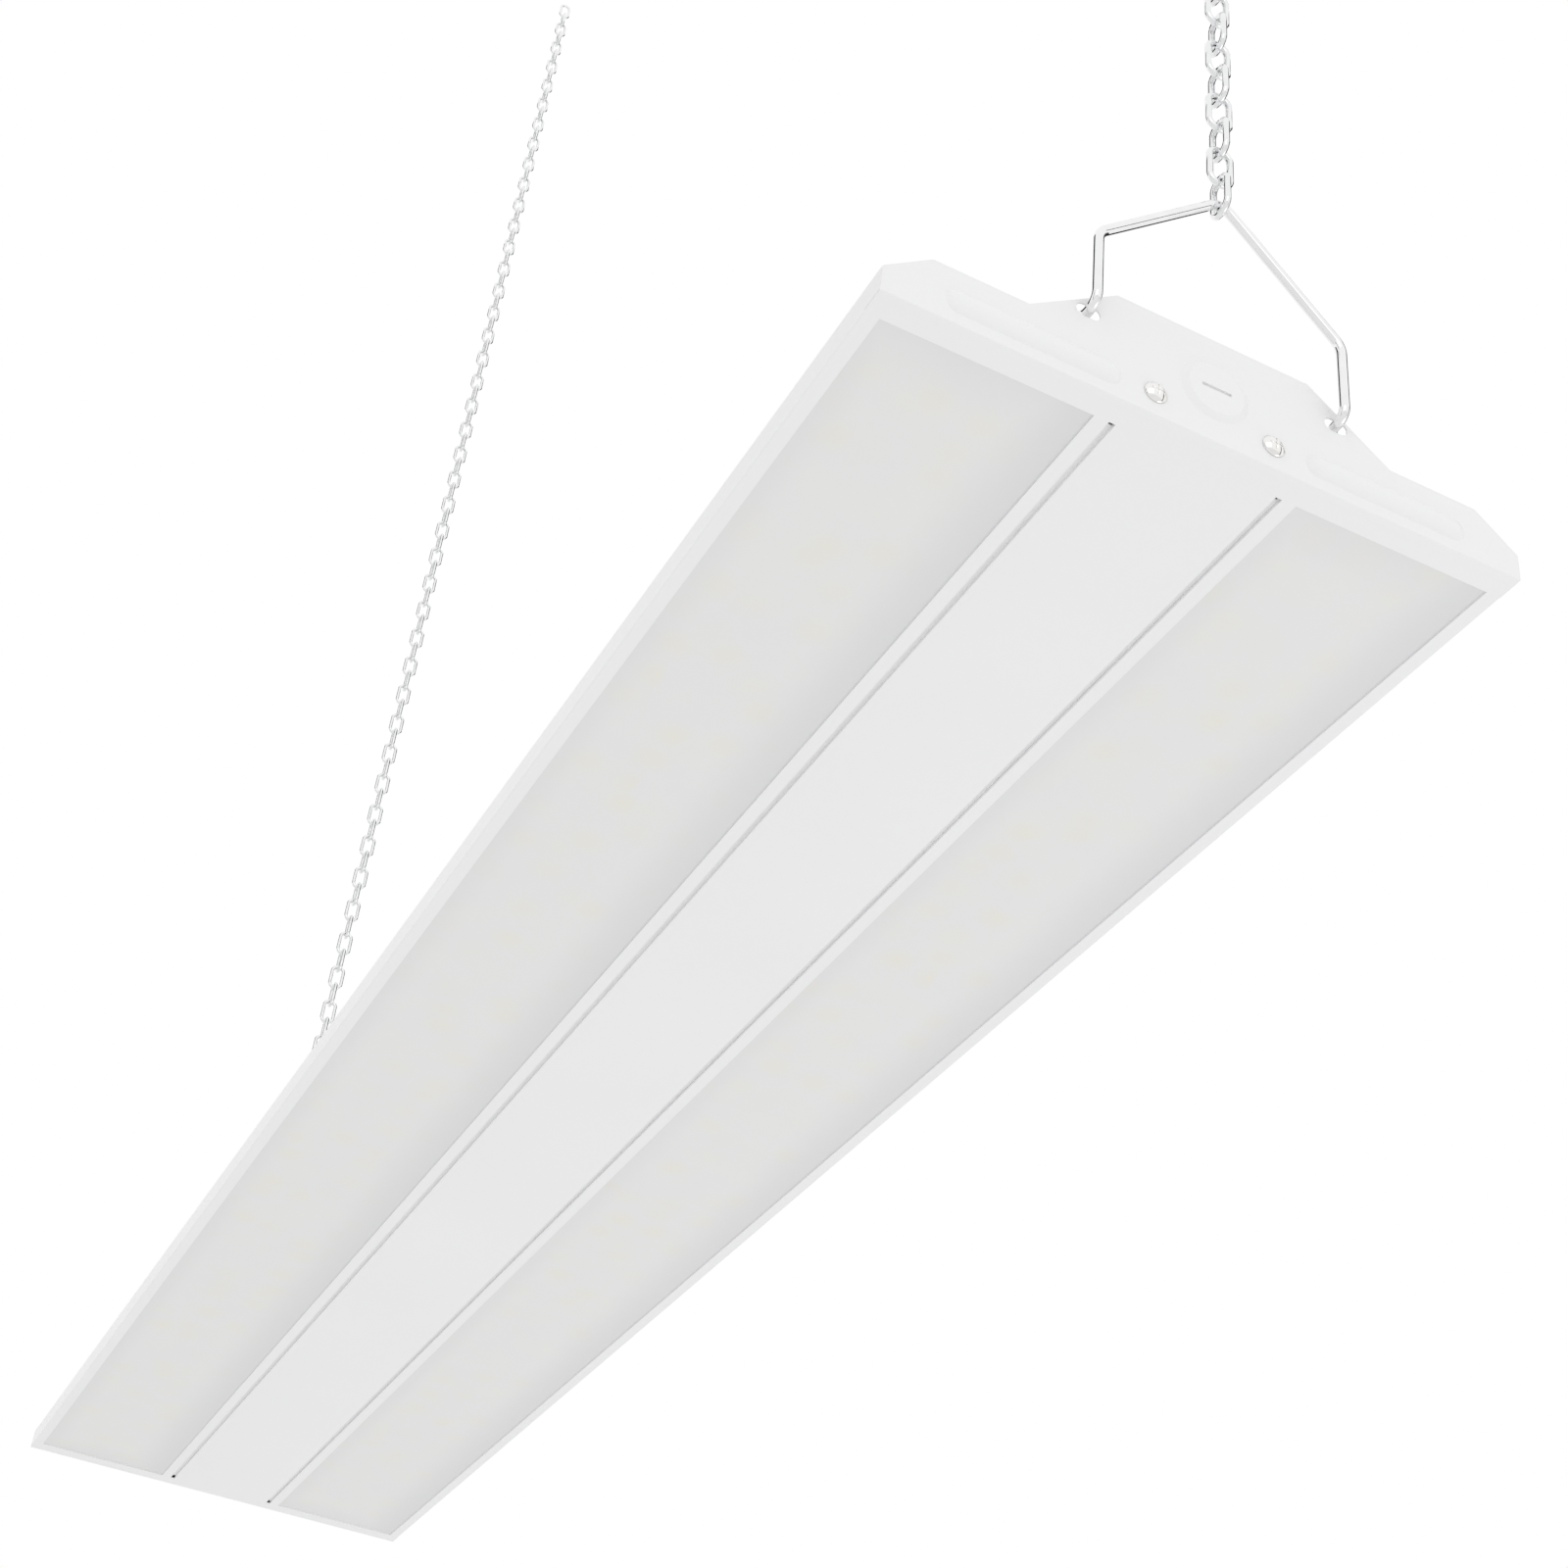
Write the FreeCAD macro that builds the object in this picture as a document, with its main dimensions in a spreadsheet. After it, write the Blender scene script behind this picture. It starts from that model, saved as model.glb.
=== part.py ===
"""Hanging shop light: a two-lens steel fixture on two wire hooks and two link chains.

Units are millimetres. X runs across the fixture, Y along it with the near end at -Y, and Z up.
The origin is halfway between the two ceiling hooks, at the height where the top links bear on
them. Pieces are drawn with Z measured from the fixture's bottom face and then lowered by hang_drop.
"""
import FreeCAD, Part
import math
import os
import re

import Sketcher
from FreeCAD import Placement, Rotation, Vector

os.makedirs("parts", exist_ok=True)
doc = FreeCAD.newDocument("hanging_shop_light")

# ---------------------------------------------------------------- driving dimensions
SIZES = [
    ("body_length", 1220, "end plate to end plate, outside"),
    ("body_width", 265, "across the bottom face"),
    ("side_height", 12, "upright side walls"),
    ("wing_margin", 2, "wing's outer edge beyond the tray's"),
    ("wing_height", 26, "top of the wings"),
    ("plate_foot_half", 76, "half width at the foot of the end plate's raised middle"),
    ("plate_top_half", 40.6, "half width at the top of the end plate's raised middle"),
    ("hat_foot_half", 56, "half width of the driver hat at its foot, clear of the hooks"),
    ("hat_top_half", 28, "half width of the driver hat at its top"),
    ("hat_height", 51, "top of the driver hat and of the end plates"),
    ("steel", 0.6, "housing, tray and cover sheet"),
    ("end_steel", 0.6, "end plate sheet"),
    ("end_flange", 11.5, "end plate's turned-in bottom flange"),
    ("rim_width", 6, "housing's bottom rim outside each lens"),
    ("fit_gap", 0.3, "clearance between neighbouring pieces"),
    ("corner_radius", 1.5, "rounding of the end plate's corners"),
    ("fold_radius", 0.5, "outside of the folds along the bottom face"),
    ("cover_half", 33.5, "half width of the centre cover"),
    ("cover_groove", 2.6, "groove each side of the cover"),
    ("cover_step", 1.6, "depth of the groove, down to the cover's joggled edge"),
    ("cover_relief", 2.2, "open notch in the groove's floor at each end"),
    ("cover_gap", 0.05, "cover's joggled edge to the tray's web"),
    ("cover_wall", 14, "height of the cover's upright sides"),
    ("cover_tab_height", 16, "height of the cover's end tabs"),
    ("rail_width", 6.0, "tray lip between groove and lens"),
    ("tray_margin", 4.5, "tray's outer edge beyond its rivets"),
    ("lens_thickness", 1.5, "frosted panel"),
    ("lens_lip", 3.0, "lens edge hidden above the rim and the rail"),
    ("board_width", 36, "light board"),
    ("board_thickness", 1.2, "light board"),
    ("board_end_gap", 14, "light board to the end plate"),
    ("board_middle_gap", 6, "between the two boards of a bay"),
    ("diode_side", 3.0, "light diode, square"),
    ("diode_height", 0.8, "light diode"),
    ("diode_row", 11, "diode row to the board's centre line"),
    ("diodes_per_row", 20, "diodes in a row on one board"),
    ("driver_length", 290, "led driver case"),
    ("driver_width", 50, "led driver case"),
    ("driver_depth", 27, "led driver case"),
    ("driver_round", 2, "rounding of the driver's long edges"),
    ("driver_ear", 12, "driver's mounting ear, along Y"),
    ("driver_ear_thickness", 3, "driver's mounting ear"),
    ("near_driver_share", -0.215, "near driver's middle, as a share of the body's length"),
    ("far_driver_share", 0.156, "far driver's middle, as a share of the body's length"),
    ("terminal_inset", 110, "terminal block's middle from the far end"),
    ("terminal_length", 30, "terminal block along Y"),
    ("terminal_width", 34, "terminal block across"),
    ("terminal_depth", 17, "terminal block"),
    ("screw_half", 24.6, "end screws from the middle"),
    ("end_screw_height", 10.7, "end screws above the bottom face"),
    ("end_screw_head", 4.7, "radius of the end screws' heads"),
    ("end_screw_shank", 1.95, "radius of the end screws' shanks"),
    ("end_screw_length", 8, "end screws under the head"),
    ("end_screw_dome", 2.4, "height of the end screws' heads"),
    ("end_screw_hole", 2.15, "clearance hole in the end plate"),
    ("knockout_radius", 11.1, "cable knockout, trade size one half"),
    ("knockout_height", 24.7, "knockout's middle above the bottom face"),
    ("knockout_slot", 12.4, "length of the screwdriver slot in the knockout"),
    ("knockout_slot_width", 1.5, "the same slot"),
    ("knockout_slot_depth", 1.0, "the same slot, pressed inwards"),
    ("knockout_land", 0.5, "flat ring round the knockout"),
    ("knockout_slope", 2.5, "sloping edge of the boss that carries the knockout"),
    ("knockout_rise", 1.5, "the boss stands out from the plate"),
    ("bead_inner", 38.5, "bead's inner end from the middle"),
    ("bead_inset", 24.5, "bead's outer end from the plate's side"),
    ("bead_height", 10.8, "bead's centre line above the bottom face"),
    ("bead_width", 11, "stamped bead"),
    ("bead_rise", 2.2, "bead stands out from the plate"),
    ("top_tab_half", 24, "half width of the end plate's top tab"),
    ("top_tab_depth", 12, "top tab's reach under the hat"),
    ("rivet_shank", 1.6, "blind rivet"),
    ("rivet_head", 3.2, "blind rivet"),
    ("rivet_dome", 1.3, "blind rivet"),
    ("end_rivet_half", 18, "top tab rivets from the middle"),
    ("end_rivet_inset", 6.5, "top tab rivets from the plate's face"),
    ("tray_rivet_clear", 5.1, "tray rivets beyond the light boards' edges"),
    ("tray_rivets", 5, "rivets along each tray"),
    ("tray_rivet_end", 40, "first tray rivet from the end plate"),
    ("slot_half", 52.5, "hook slots from the middle"),
    ("slot_height", 36.3, "hook wire through the slots, above the bottom face"),
    ("slot_length", 10, "hook slot across"),
    ("slot_width", 6, "hook slot up and down"),
    ("slot_drop", 0.6, "slot's middle below the hook wire, which bears near its top edge"),
    ("hook_wire", 4.0, "hook wire"),
    ("hook_bend", 4.5, "hook wire's bends at the slots, on its centre line"),
    ("hook_stand_off", 5.5, "hook plane outside the end plate's face"),
    ("hook_tail", 7, "tail behind the plate, from the slot's middle outwards"),
    ("leg_top_height", 72, "where the legs turn towards the peak"),
    ("leg_top_half", 52.5, "legs from the middle"),
    ("leg_bend", 9, "bend at the top of each leg"),
    ("peak_height", 118.4, "centre line of the hook's peak"),
    ("peak_radius", 6.5, "bend at the peak"),
    ("link_wire", 2.8, "chain wire"),
    ("link_inner", 16.6, "chain pitch, inside a link"),
    ("link_outer_width", 12.0, "link outside"),
    ("link_gap", 0.2, "clearance where links bear on each other"),
    ("links_per_chain", 98, "links in each chain, an even number"),
    ("bushing_bore", 5.0, "inlet bushing's bore radius"),
    ("bushing_wall", 3.0, "bushing body round the bore"),
    ("bushing_flange", 14.0, "bushing flange radius"),
    ("bushing_flange_thickness", 2.2, "bushing flange"),
    ("bushing_length", 14.0, "bushing from end to end"),
    ("wire_diameter", 2.2, "inner leads"),
    ("wire_bend", 6, "bends of the inner leads"),
    ("lead_spacing", 8, "between the two leads of a pair"),
    ("lead_reach", 60, "leads' crossing from the driver's end"),
    ("grommet_wall", 1.1, "rubber grommet round a lead"),
    ("grommet_flange", 1.6, "grommet's flange over the hole's edge"),
    ("connector_side", 5, "board connector across"),
    ("connector_length", 14, "board connector along Y"),
    ("connector_depth", 4.5, "board connector"),
    ("board_screw_head", 2.6, "board screw"),
    ("board_screw_shank", 1.25, "board screw"),
    ("board_screw_dome", 1.6, "board screw"),
    ("board_screws", 3, "screws along each board"),
    ("driver_screw_head", 3.9, "driver screw"),
    ("driver_screw_shank", 1.95, "driver screw"),
    ("driver_screw_dome", 2.2, "driver screw"),
    ("ground_screw_inset", 62, "ground screw from the far end"),
    ("ground_wire_side", 12, "X of the ground wire's terminal"),
]
ALIASES = sorted((name for name, _, _ in SIZES), key=len, reverse=True)
NAME_PATTERN = re.compile(r"\b(" + "|".join(ALIASES) + r")\b")

sheet = doc.addObject("Spreadsheet::Sheet", "Sizes")
for row, (name, number, note) in enumerate(SIZES, 1):
    sheet.set(f"A{row}", name)
    sheet.set(f"B{row}", str(number))
    sheet.setAlias(f"B{row}", name)
    sheet.set(f"C{row}", note)
doc.recompute()


def size(name):
    """A driving dimension, read from the sheet."""
    return float(sheet.get(name))


def bound(text):
    """The same formula with every name pointing at the sheet."""
    return NAME_PATTERN.sub(r"Sizes.\1", text)


def worth(text):
    """What a formula comes to now."""
    return float(sheet.evalExpression(bound(text)))


# Formulas that several pieces share.
LINK_STEP = "(link_inner - link_gap)"
BOTTOM_LINK = "(peak_height - hook_wire / 2 - link_gap + link_inner / 2)"
TOP_LINK = f"({BOTTOM_LINK} + (links_per_chain - 1) * {LINK_STEP})"
HANG_DROP = f"({TOP_LINK} + link_inner / 2)"
CHAIN_PLACE = "(body_length / 2 + hook_stand_off)"
RAIL_START = "(cover_half + cover_groove)"
RAIL_END = "(cover_half + cover_groove + rail_width)"
COVER_WALL_OUTSIDE = f"({RAIL_START} - cover_gap)"
RIM_START = "(body_width / 2 - rim_width)"
BAY_CENTRE = f"(({RAIL_END} + {RIM_START}) / 2)"
TRAY_RIVET_LINE = f"({BAY_CENTRE} + board_width / 2 + tray_rivet_clear)"
TRAY_OUTER = f"({TRAY_RIVET_LINE} + tray_margin)"
WING_HALF = f"({TRAY_OUTER} + wing_margin)"
INNER_LENGTH = "(body_length - 2 * end_steel)"
OPEN_LENGTH = "(body_length - 2 * end_flange)"
FLANGE_STRETCHES = [
    ("-body_length / 2", f"-{OPEN_LENGTH} / 2"),
    (f"{OPEN_LENGTH} / 2", "body_length / 2"),
]
TRAY_TOP = "(wing_height - steel)"
BOARD_TOP = f"({TRAY_TOP} - steel)"
BOARD_FACE = f"({BOARD_TOP} - board_thickness)"
HAT_UNDER = "(hat_height - steel)"
NEAR_DRIVER = "(near_driver_share * body_length)"
FAR_DRIVER = "(far_driver_share * body_length)"
TERMINAL_PLACE = "(body_length / 2 - terminal_inset)"
GROUND_SCREW_PLACE = "(body_length / 2 - ground_screw_inset)"
LEAD_HEIGHT = f"({BOARD_FACE} - connector_depth / 2)"
DROP = worth(HANG_DROP)


# ---------------------------------------------------------------- helpers
def new_body(label):
    """An empty body, lowered to its place under the ceiling hooks."""
    body = doc.addObject("PartDesign::Body", label)
    body.Label = label
    body.setExpression("Placement.Base.z", bound(f"-{HANG_DROP}"))
    return body


def new_sketch(body, role, offset="0"):
    """A sketch on one of the body's own planes, moved along the plane's normal."""
    sketch = body.newObject("Sketcher::SketchObject", "sketch")
    plane = [item for item in body.Origin.OriginFeatures if item.Role == role][0]
    sketch.AttachmentSupport = [(plane, "")]
    sketch.MapMode = "FlatFace"
    sketch.setExpression("AttachmentOffset.Base.z", bound(offset))
    return sketch


def hold_point(sketch, geometry, position, x, y):
    """Holds a sketch point at two formulas."""
    for axis, text in (("DistanceX", x), ("DistanceY", y)):
        rule = Sketcher.Constraint(axis, -1, 1, geometry, position, worth(text))
        index = sketch.addConstraint(rule)
        sketch.setExpression(f"Constraints[{index}]", bound(text))


def draw_outline(sketch, corners):
    """A closed outline of straight lines through corners given as formulas."""
    first = len(sketch.Geometry)
    places = [Vector(worth(x), worth(y), 0) for x, y in corners]
    count = len(corners)
    for index in range(count):
        sketch.addGeometry(Part.LineSegment(places[index], places[(index + 1) % count]))
    for index in range(count):
        following = first + (index + 1) % count
        sketch.addConstraint(Sketcher.Constraint("Coincident", first + index, 2, following, 1))
    for index, (x, y) in enumerate(corners):
        hold_point(sketch, first + index, 1, x, y)


def draw_circle(sketch, x, y, radius):
    """A circle held by formulas."""
    middle = Vector(worth(x), worth(y), 0)
    index = sketch.addGeometry(Part.Circle(middle, Vector(0, 0, 1), worth(radius)))
    hold_point(sketch, index, 3, x, y)
    rule = sketch.addConstraint(Sketcher.Constraint("Radius", index, worth(radius)))
    sketch.setExpression(f"Constraints[{rule}]", bound(radius))


def rectangle(x_low, x_high, y_low, y_high):
    """Four corners, as formulas."""
    return [(x_low, y_low), (x_high, y_low), (x_high, y_high), (x_low, y_high)]


def mirrored(corners):
    """The same corners on the other side of X = 0, kept in turning order."""
    return [(f"-({x})", y) for x, y in reversed(corners)]


def pad(body, sketch, length, way="forward"):
    """Adds material forward, backward or both ways from the sketch."""
    feature = body.newObject("PartDesign::Pad", "pad")
    feature.Profile = sketch
    feature.setExpression("Length", bound(length))
    feature.SideType = "Symmetric" if way == "both" else "One side"
    feature.Reversed = way == "backward"
    doc.recompute()
    return feature


def pocket(body, sketch, length, way="forward"):
    """Cuts forward, backward or both ways, and makes sure that it cut."""
    before = body.Shape.Volume
    feature = body.newObject("PartDesign::Pocket", "pocket")
    feature.Profile = sketch
    feature.setExpression("Length", bound(length))
    feature.SideType = "Symmetric" if way == "both" else "One side"
    feature.Reversed = way == "backward"
    doc.recompute()
    if not body.Shape.Volume < before - 0.001:
        raise RuntimeError(f"a pocket in {body.Label} cut nothing")
    return feature


def shape_piece(label, shape):
    """A piece whose shape is worked out in code, lowered to its place."""
    piece = doc.addObject("Part::Feature", label)
    piece.Label = label
    piece.Shape = shape
    piece.Placement = Placement(Vector(0, 0, -DROP), Rotation()).multiply(shape.Placement)
    return piece


def block(x_low, x_high, y_low, y_high, z_low, z_high):
    """A plain block between two corners."""
    corner = Vector(x_low, y_low, z_low)
    return Part.makeBox(x_high - x_low, y_high - y_low, z_high - z_low, corner)


def rounded_block(x_low, x_high, y_low, y_high, z_low, z_high, radius):
    """A block whose edges along Y are rounded."""
    shape = block(x_low, x_high, y_low, y_high, z_low, z_high)
    long_edges = [edge for edge in shape.Edges if abs(edge.tangentAt(0).y) > 0.9]
    return shape.makeFillet(radius, long_edges)


def pan_screw(place, way, head, dome, shank, length):
    """A domed head standing against way on its seat, with its shank going along way."""
    sphere_radius = (head * head + dome * dome) / (2 * dome)
    ball = Part.makeSphere(sphere_radius, place - way * (dome - sphere_radius))
    slab = Part.makeCylinder(head * 1.5, dome * 2, place - way * dome * 2, way)
    return ball.common(slab).fuse(Part.makeCylinder(shank, length, place, way)).removeSplitter()


def bent_path(points, radii):
    """Straight runs through the points, joined by tangent arcs of the given radii."""
    edges = []
    start = points[0]
    for before, corner, after, radius in zip(points, points[1:], points[2:], radii):
        back = (before - corner).normalize()
        ahead = (after - corner).normalize()
        half_turn = (math.pi - back.getAngle(ahead)) / 2
        reach = radius * math.tan(half_turn)
        arc_start = corner + back * reach
        arc_end = corner + ahead * reach
        bisector = (back + ahead).normalize()
        arc_middle = corner + bisector * (radius / math.cos(half_turn) - radius)
        if (arc_start - start).Length > 1e-4:
            edges.append(Part.LineSegment(start, arc_start).toShape())
        edges.append(Part.Arc(arc_start, arc_middle, arc_end).toShape())
        start = arc_end
    edges.append(Part.LineSegment(start, points[-1]).toShape())
    return Part.Wire(edges)


def wire_along(path, diameter):
    """A round wire that follows a path."""
    start = path.Edges[0]
    middle = start.valueAt(start.FirstParameter)
    circle = Part.makeCircle(diameter / 2, middle, start.tangentAt(start.FirstParameter))
    wire = path.makePipeShell([Part.Wire([circle])], True, False)
    expected = path.Length * math.pi * diameter ** 2 / 4
    if abs(wire.Volume - expected) > 0.02 * expected:
        raise RuntimeError("a bent wire's volume is off")
    return wire


def joined(shapes):
    """Separate solids as one group."""
    return Part.makeCompound(shapes)


# ---------------------------------------------------------------- housing
def outer_profile(foot_half, top_half):
    """The outside of the housing or of an end plate, seen along Y."""
    right = [
        ("body_width / 2", "0"),
        ("body_width / 2", "side_height"),
        (WING_HALF, "wing_height"),
        (foot_half, "wing_height"),
        (top_half, "hat_height"),
    ]
    return right + mirrored(right)


def round_edges(body, feature, radius, chosen):
    """Rounds the edges of a feature whose boxes pass a test."""
    edges = enumerate(feature.Shape.Edges, 1)
    names = [f"Edge{index}" for index, edge in edges if chosen(edge.BoundBox)]
    rounding = body.newObject("PartDesign::Fillet", "rounding")
    rounding.Base = (feature, names)
    rounding.setExpression("Radius", bound(radius))
    doc.recompute()


def cut_end_notches(body, x_low, x_high):
    """Clears the end plates' bottom flanges at both ends, on both sides."""
    for side in (-1, 1):
        notch = new_sketch(body, "XY_Plane", "-fit_gap")
        for y_low, y_high in FLANGE_STRETCHES:
            corners = rectangle(x_low, x_high, y_low, y_high)
            draw_outline(notch, mirrored(corners) if side < 0 else corners)
        pocket(body, notch, "end_steel + 2 * fit_gap", "backward")


def make_housing():
    """One folded sheet: hat, wings, side walls and the two narrow bottom rims."""
    body = new_body("housing")
    outside = new_sketch(body, "XZ_Plane")
    draw_outline(outside, outer_profile("hat_foot_half", "hat_top_half"))
    block_feature = pad(body, outside, INNER_LENGTH, "both")
    open_faces = []
    for index, face in enumerate(block_feature.Shape.Faces, 1):
        normal = face.normalAt(0, 0)
        if abs(normal.y) > 0.9 or normal.z < -0.9:
            open_faces.append(f"Face{index}")
    shell = body.newObject("PartDesign::Thickness", "folded_sheet")
    shell.Base = (block_feature, open_faces)
    shell.setExpression("Value", bound("steel"))
    shell.Join = 1
    shell.Reversed = True
    doc.recompute()
    rims = new_sketch(body, "XZ_Plane")
    corners = rectangle(RIM_START, "body_width / 2", "0", "steel")
    draw_outline(rims, corners)
    draw_outline(rims, mirrored(corners))
    half = worth("body_width / 2")
    round_edges(body, pad(body, rims, INNER_LENGTH, "both"), "fold_radius",
                lambda box: box.ZMax < 0.01 and min(abs(box.XMin), abs(box.XMax)) > half - 0.01)
    cut_end_notches(body, f"{RIM_START} - fit_gap", "body_width / 2 + fit_gap")
    cut_rivet_and_screw_holes(body)
    return body


def cut_rivet_and_screw_holes(body):
    """Holes for the end plates' rivets, the tray rivets and the driver and ground screws."""
    wing_holes = new_sketch(body, "XY_Plane", "wing_height + fit_gap")
    for side in (-1, 1):
        for place in tray_rivet_places():
            draw_circle(wing_holes, f"{side} * {TRAY_RIVET_LINE}", place, "rivet_shank")
    pocket(body, wing_holes, "steel + 2 * fit_gap")
    hat_holes = new_sketch(body, "XY_Plane", "hat_height + fit_gap")
    for end in (-1, 1):
        for side in (-1, 1):
            place = f"{end} * (body_length / 2 - end_rivet_inset)"
            draw_circle(hat_holes, f"{side} * end_rivet_half", place, "rivet_shank")
    for place in driver_screw_places():
        draw_circle(hat_holes, "0", place, "driver_screw_shank")
    draw_circle(hat_holes, "0", GROUND_SCREW_PLACE, "driver_screw_shank")
    pocket(body, hat_holes, "steel + 2 * fit_gap")


def tray_rivet_places():
    """Y of each rivet along a tray, as formulas."""
    count = int(size("tray_rivets"))
    span = "(body_length / 2 - tray_rivet_end)"
    return [f"{span} * (2 * {index} / (tray_rivets - 1) - 1)" for index in range(count)]


def driver_screw_places():
    """Y of the screws at both ends of both drivers, as formulas."""
    reach = "(driver_length / 2 + driver_ear / 2)"
    return [f"{middle} + {sign} * {reach}" for middle in (NEAR_DRIVER, FAR_DRIVER) for sign in (-1, 1)]


# ---------------------------------------------------------------- end plates
def cut_stadium(body, x, z, length, width, depth, offset="0"):
    """A slot with round ends, cut into the plate from a plane along Y."""
    reach = f"(({length}) - ({width})) / 2"
    straight = new_sketch(body, "XZ_Plane", offset)
    low, high = f"({z}) - ({width}) / 2", f"({z}) + ({width}) / 2"
    draw_outline(straight, rectangle(f"({x}) - {reach}", f"({x}) + {reach}", low, high))
    pocket(body, straight, depth)
    rounds = new_sketch(body, "XZ_Plane", offset)
    draw_circle(rounds, f"({x}) - {reach}", z, f"({width}) / 2")
    draw_circle(rounds, f"({x}) + {reach}", z, f"({width}) / 2")
    pocket(body, rounds, depth)


def bead(x_low, x_high):
    """A bead with round ends and an arc for its section, standing out from Y = 0."""
    rise = size("bead_rise")
    half = size("bead_width") / 2
    radius = (half ** 2 + rise ** 2) / (2 * rise)
    z = size("bead_height")
    starts = Vector(x_low + half, radius - rise, z)
    ends = Vector(x_high - half, radius - rise, z)
    shape = Part.makeCylinder(radius, ends.x - starts.x, starts, Vector(1, 0, 0))
    shape = shape.fuse([Part.makeSphere(radius, starts), Part.makeSphere(radius, ends)])
    root = size("end_steel") / 4
    front = block(x_low - half, x_high + half, -2 * rise, root, z - 2 * half, z + 2 * half)
    return shape.common(front).removeSplitter()


def knockout_boss():
    """The round boss that carries the knockout, standing out from Y = 0."""
    rise = size("knockout_rise")
    slope = size("knockout_slope")
    top = size("knockout_radius") + size("knockout_land")
    root = size("end_steel") / 4
    foot = top + slope * (rise + root) / rise
    start = Vector(0, root, size("knockout_height"))
    return Part.makeCone(foot, top, rise + root, start, Vector(0, -1, 0))


def stamped(sheet_shape, form):
    """The sheet with a form pressed outwards: proud on one side, hollow on the other."""
    hollow = form.copy()
    hollow.translate(Vector(0, size("end_steel"), 0))
    return sheet_shape.fuse(form).cut(hollow).removeSplitter()


def make_end_plate(label, far):
    """A stamped plate. It is drawn with its outer face at Y = 0 and its inside towards +Y."""
    body = doc.addObject("PartDesign::Body", f"{label}_sheet")
    outline = new_sketch(body, "XZ_Plane")
    draw_outline(outline, outer_profile("plate_foot_half", "plate_top_half"))
    plate = pad(body, outline, "end_steel", "backward")
    side = worth("side_height")
    round_edges(body, plate, "corner_radius",
                lambda box: box.ZMin > side - 1 and box.XLength < 0.01 and box.ZLength < 0.01)
    flange = new_sketch(body, "XY_Plane")
    half = "(body_width / 2)"
    draw_outline(flange, rectangle(f"-{half}", half, "0", "end_flange"))
    round_edges(body, pad(body, flange, "end_steel"), "fold_radius",
                lambda box: box.ZMax < 0.01 and max(abs(box.YMin), abs(box.YMax)) < 0.01)
    tab = new_sketch(body, "XY_Plane", f"{HAT_UNDER} - end_steel")
    draw_outline(tab, rectangle("-top_tab_half", "top_tab_half", "end_steel / 2", "top_tab_depth"))
    pad(body, tab, "end_steel")
    tab_holes = new_sketch(body, "XY_Plane", HAT_UNDER)
    for side in (-1, 1):
        draw_circle(tab_holes, f"{side} * end_rivet_half", "end_rivet_inset", "rivet_shank")
    pocket(body, tab_holes, "end_steel")
    screw_holes = new_sketch(body, "XZ_Plane")
    for side in (-1, 1):
        draw_circle(screw_holes, f"{side} * screw_half", "end_screw_height", "end_screw_hole")
    pocket(body, screw_holes, "end_steel")
    for side in (-1, 1):
        slot_middle = f"{side} * slot_half"
        cut_stadium(body, slot_middle, "slot_height - slot_drop", "slot_length", "slot_width", "end_steel")
    shape = body.Shape.copy()
    inner = size("bead_inner")
    outer = worth("body_width / 2 - bead_inset")
    for form in (bead(-outer, -inner), bead(inner, outer), knockout_boss()):
        shape = stamped(shape, form)
    shape = shape.cut(open_knockout()) if far else with_pry_slot(shape)
    return shape_piece(label, at_end(shape, 1 if far else -1))


def open_knockout():
    """The hole that is left once the disc is knocked out."""
    reach = size("knockout_rise") + size("end_steel")
    start = Vector(0, reach, size("knockout_height"))
    return Part.makeCylinder(size("knockout_radius"), 2 * reach, start, Vector(0, -1, 0))


def with_pry_slot(shape):
    """The plate with a slot pressed into the knockout, for the screwdriver that opens it."""
    half = size("knockout_slot") / 2
    half_width = size("knockout_slot_width") / 2
    z = size("knockout_height")
    face = -size("knockout_rise")
    floor = face + size("knockout_slot_depth")
    wall = size("end_steel")
    backing = block(-half - wall, half + wall, face + wall / 2, floor + wall,
                    z - half_width - wall, z + half_width + wall)
    slot = block(-half, half, face - wall, floor, z - half_width, z + half_width)
    return shape.fuse(backing).cut(slot).removeSplitter()


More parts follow.
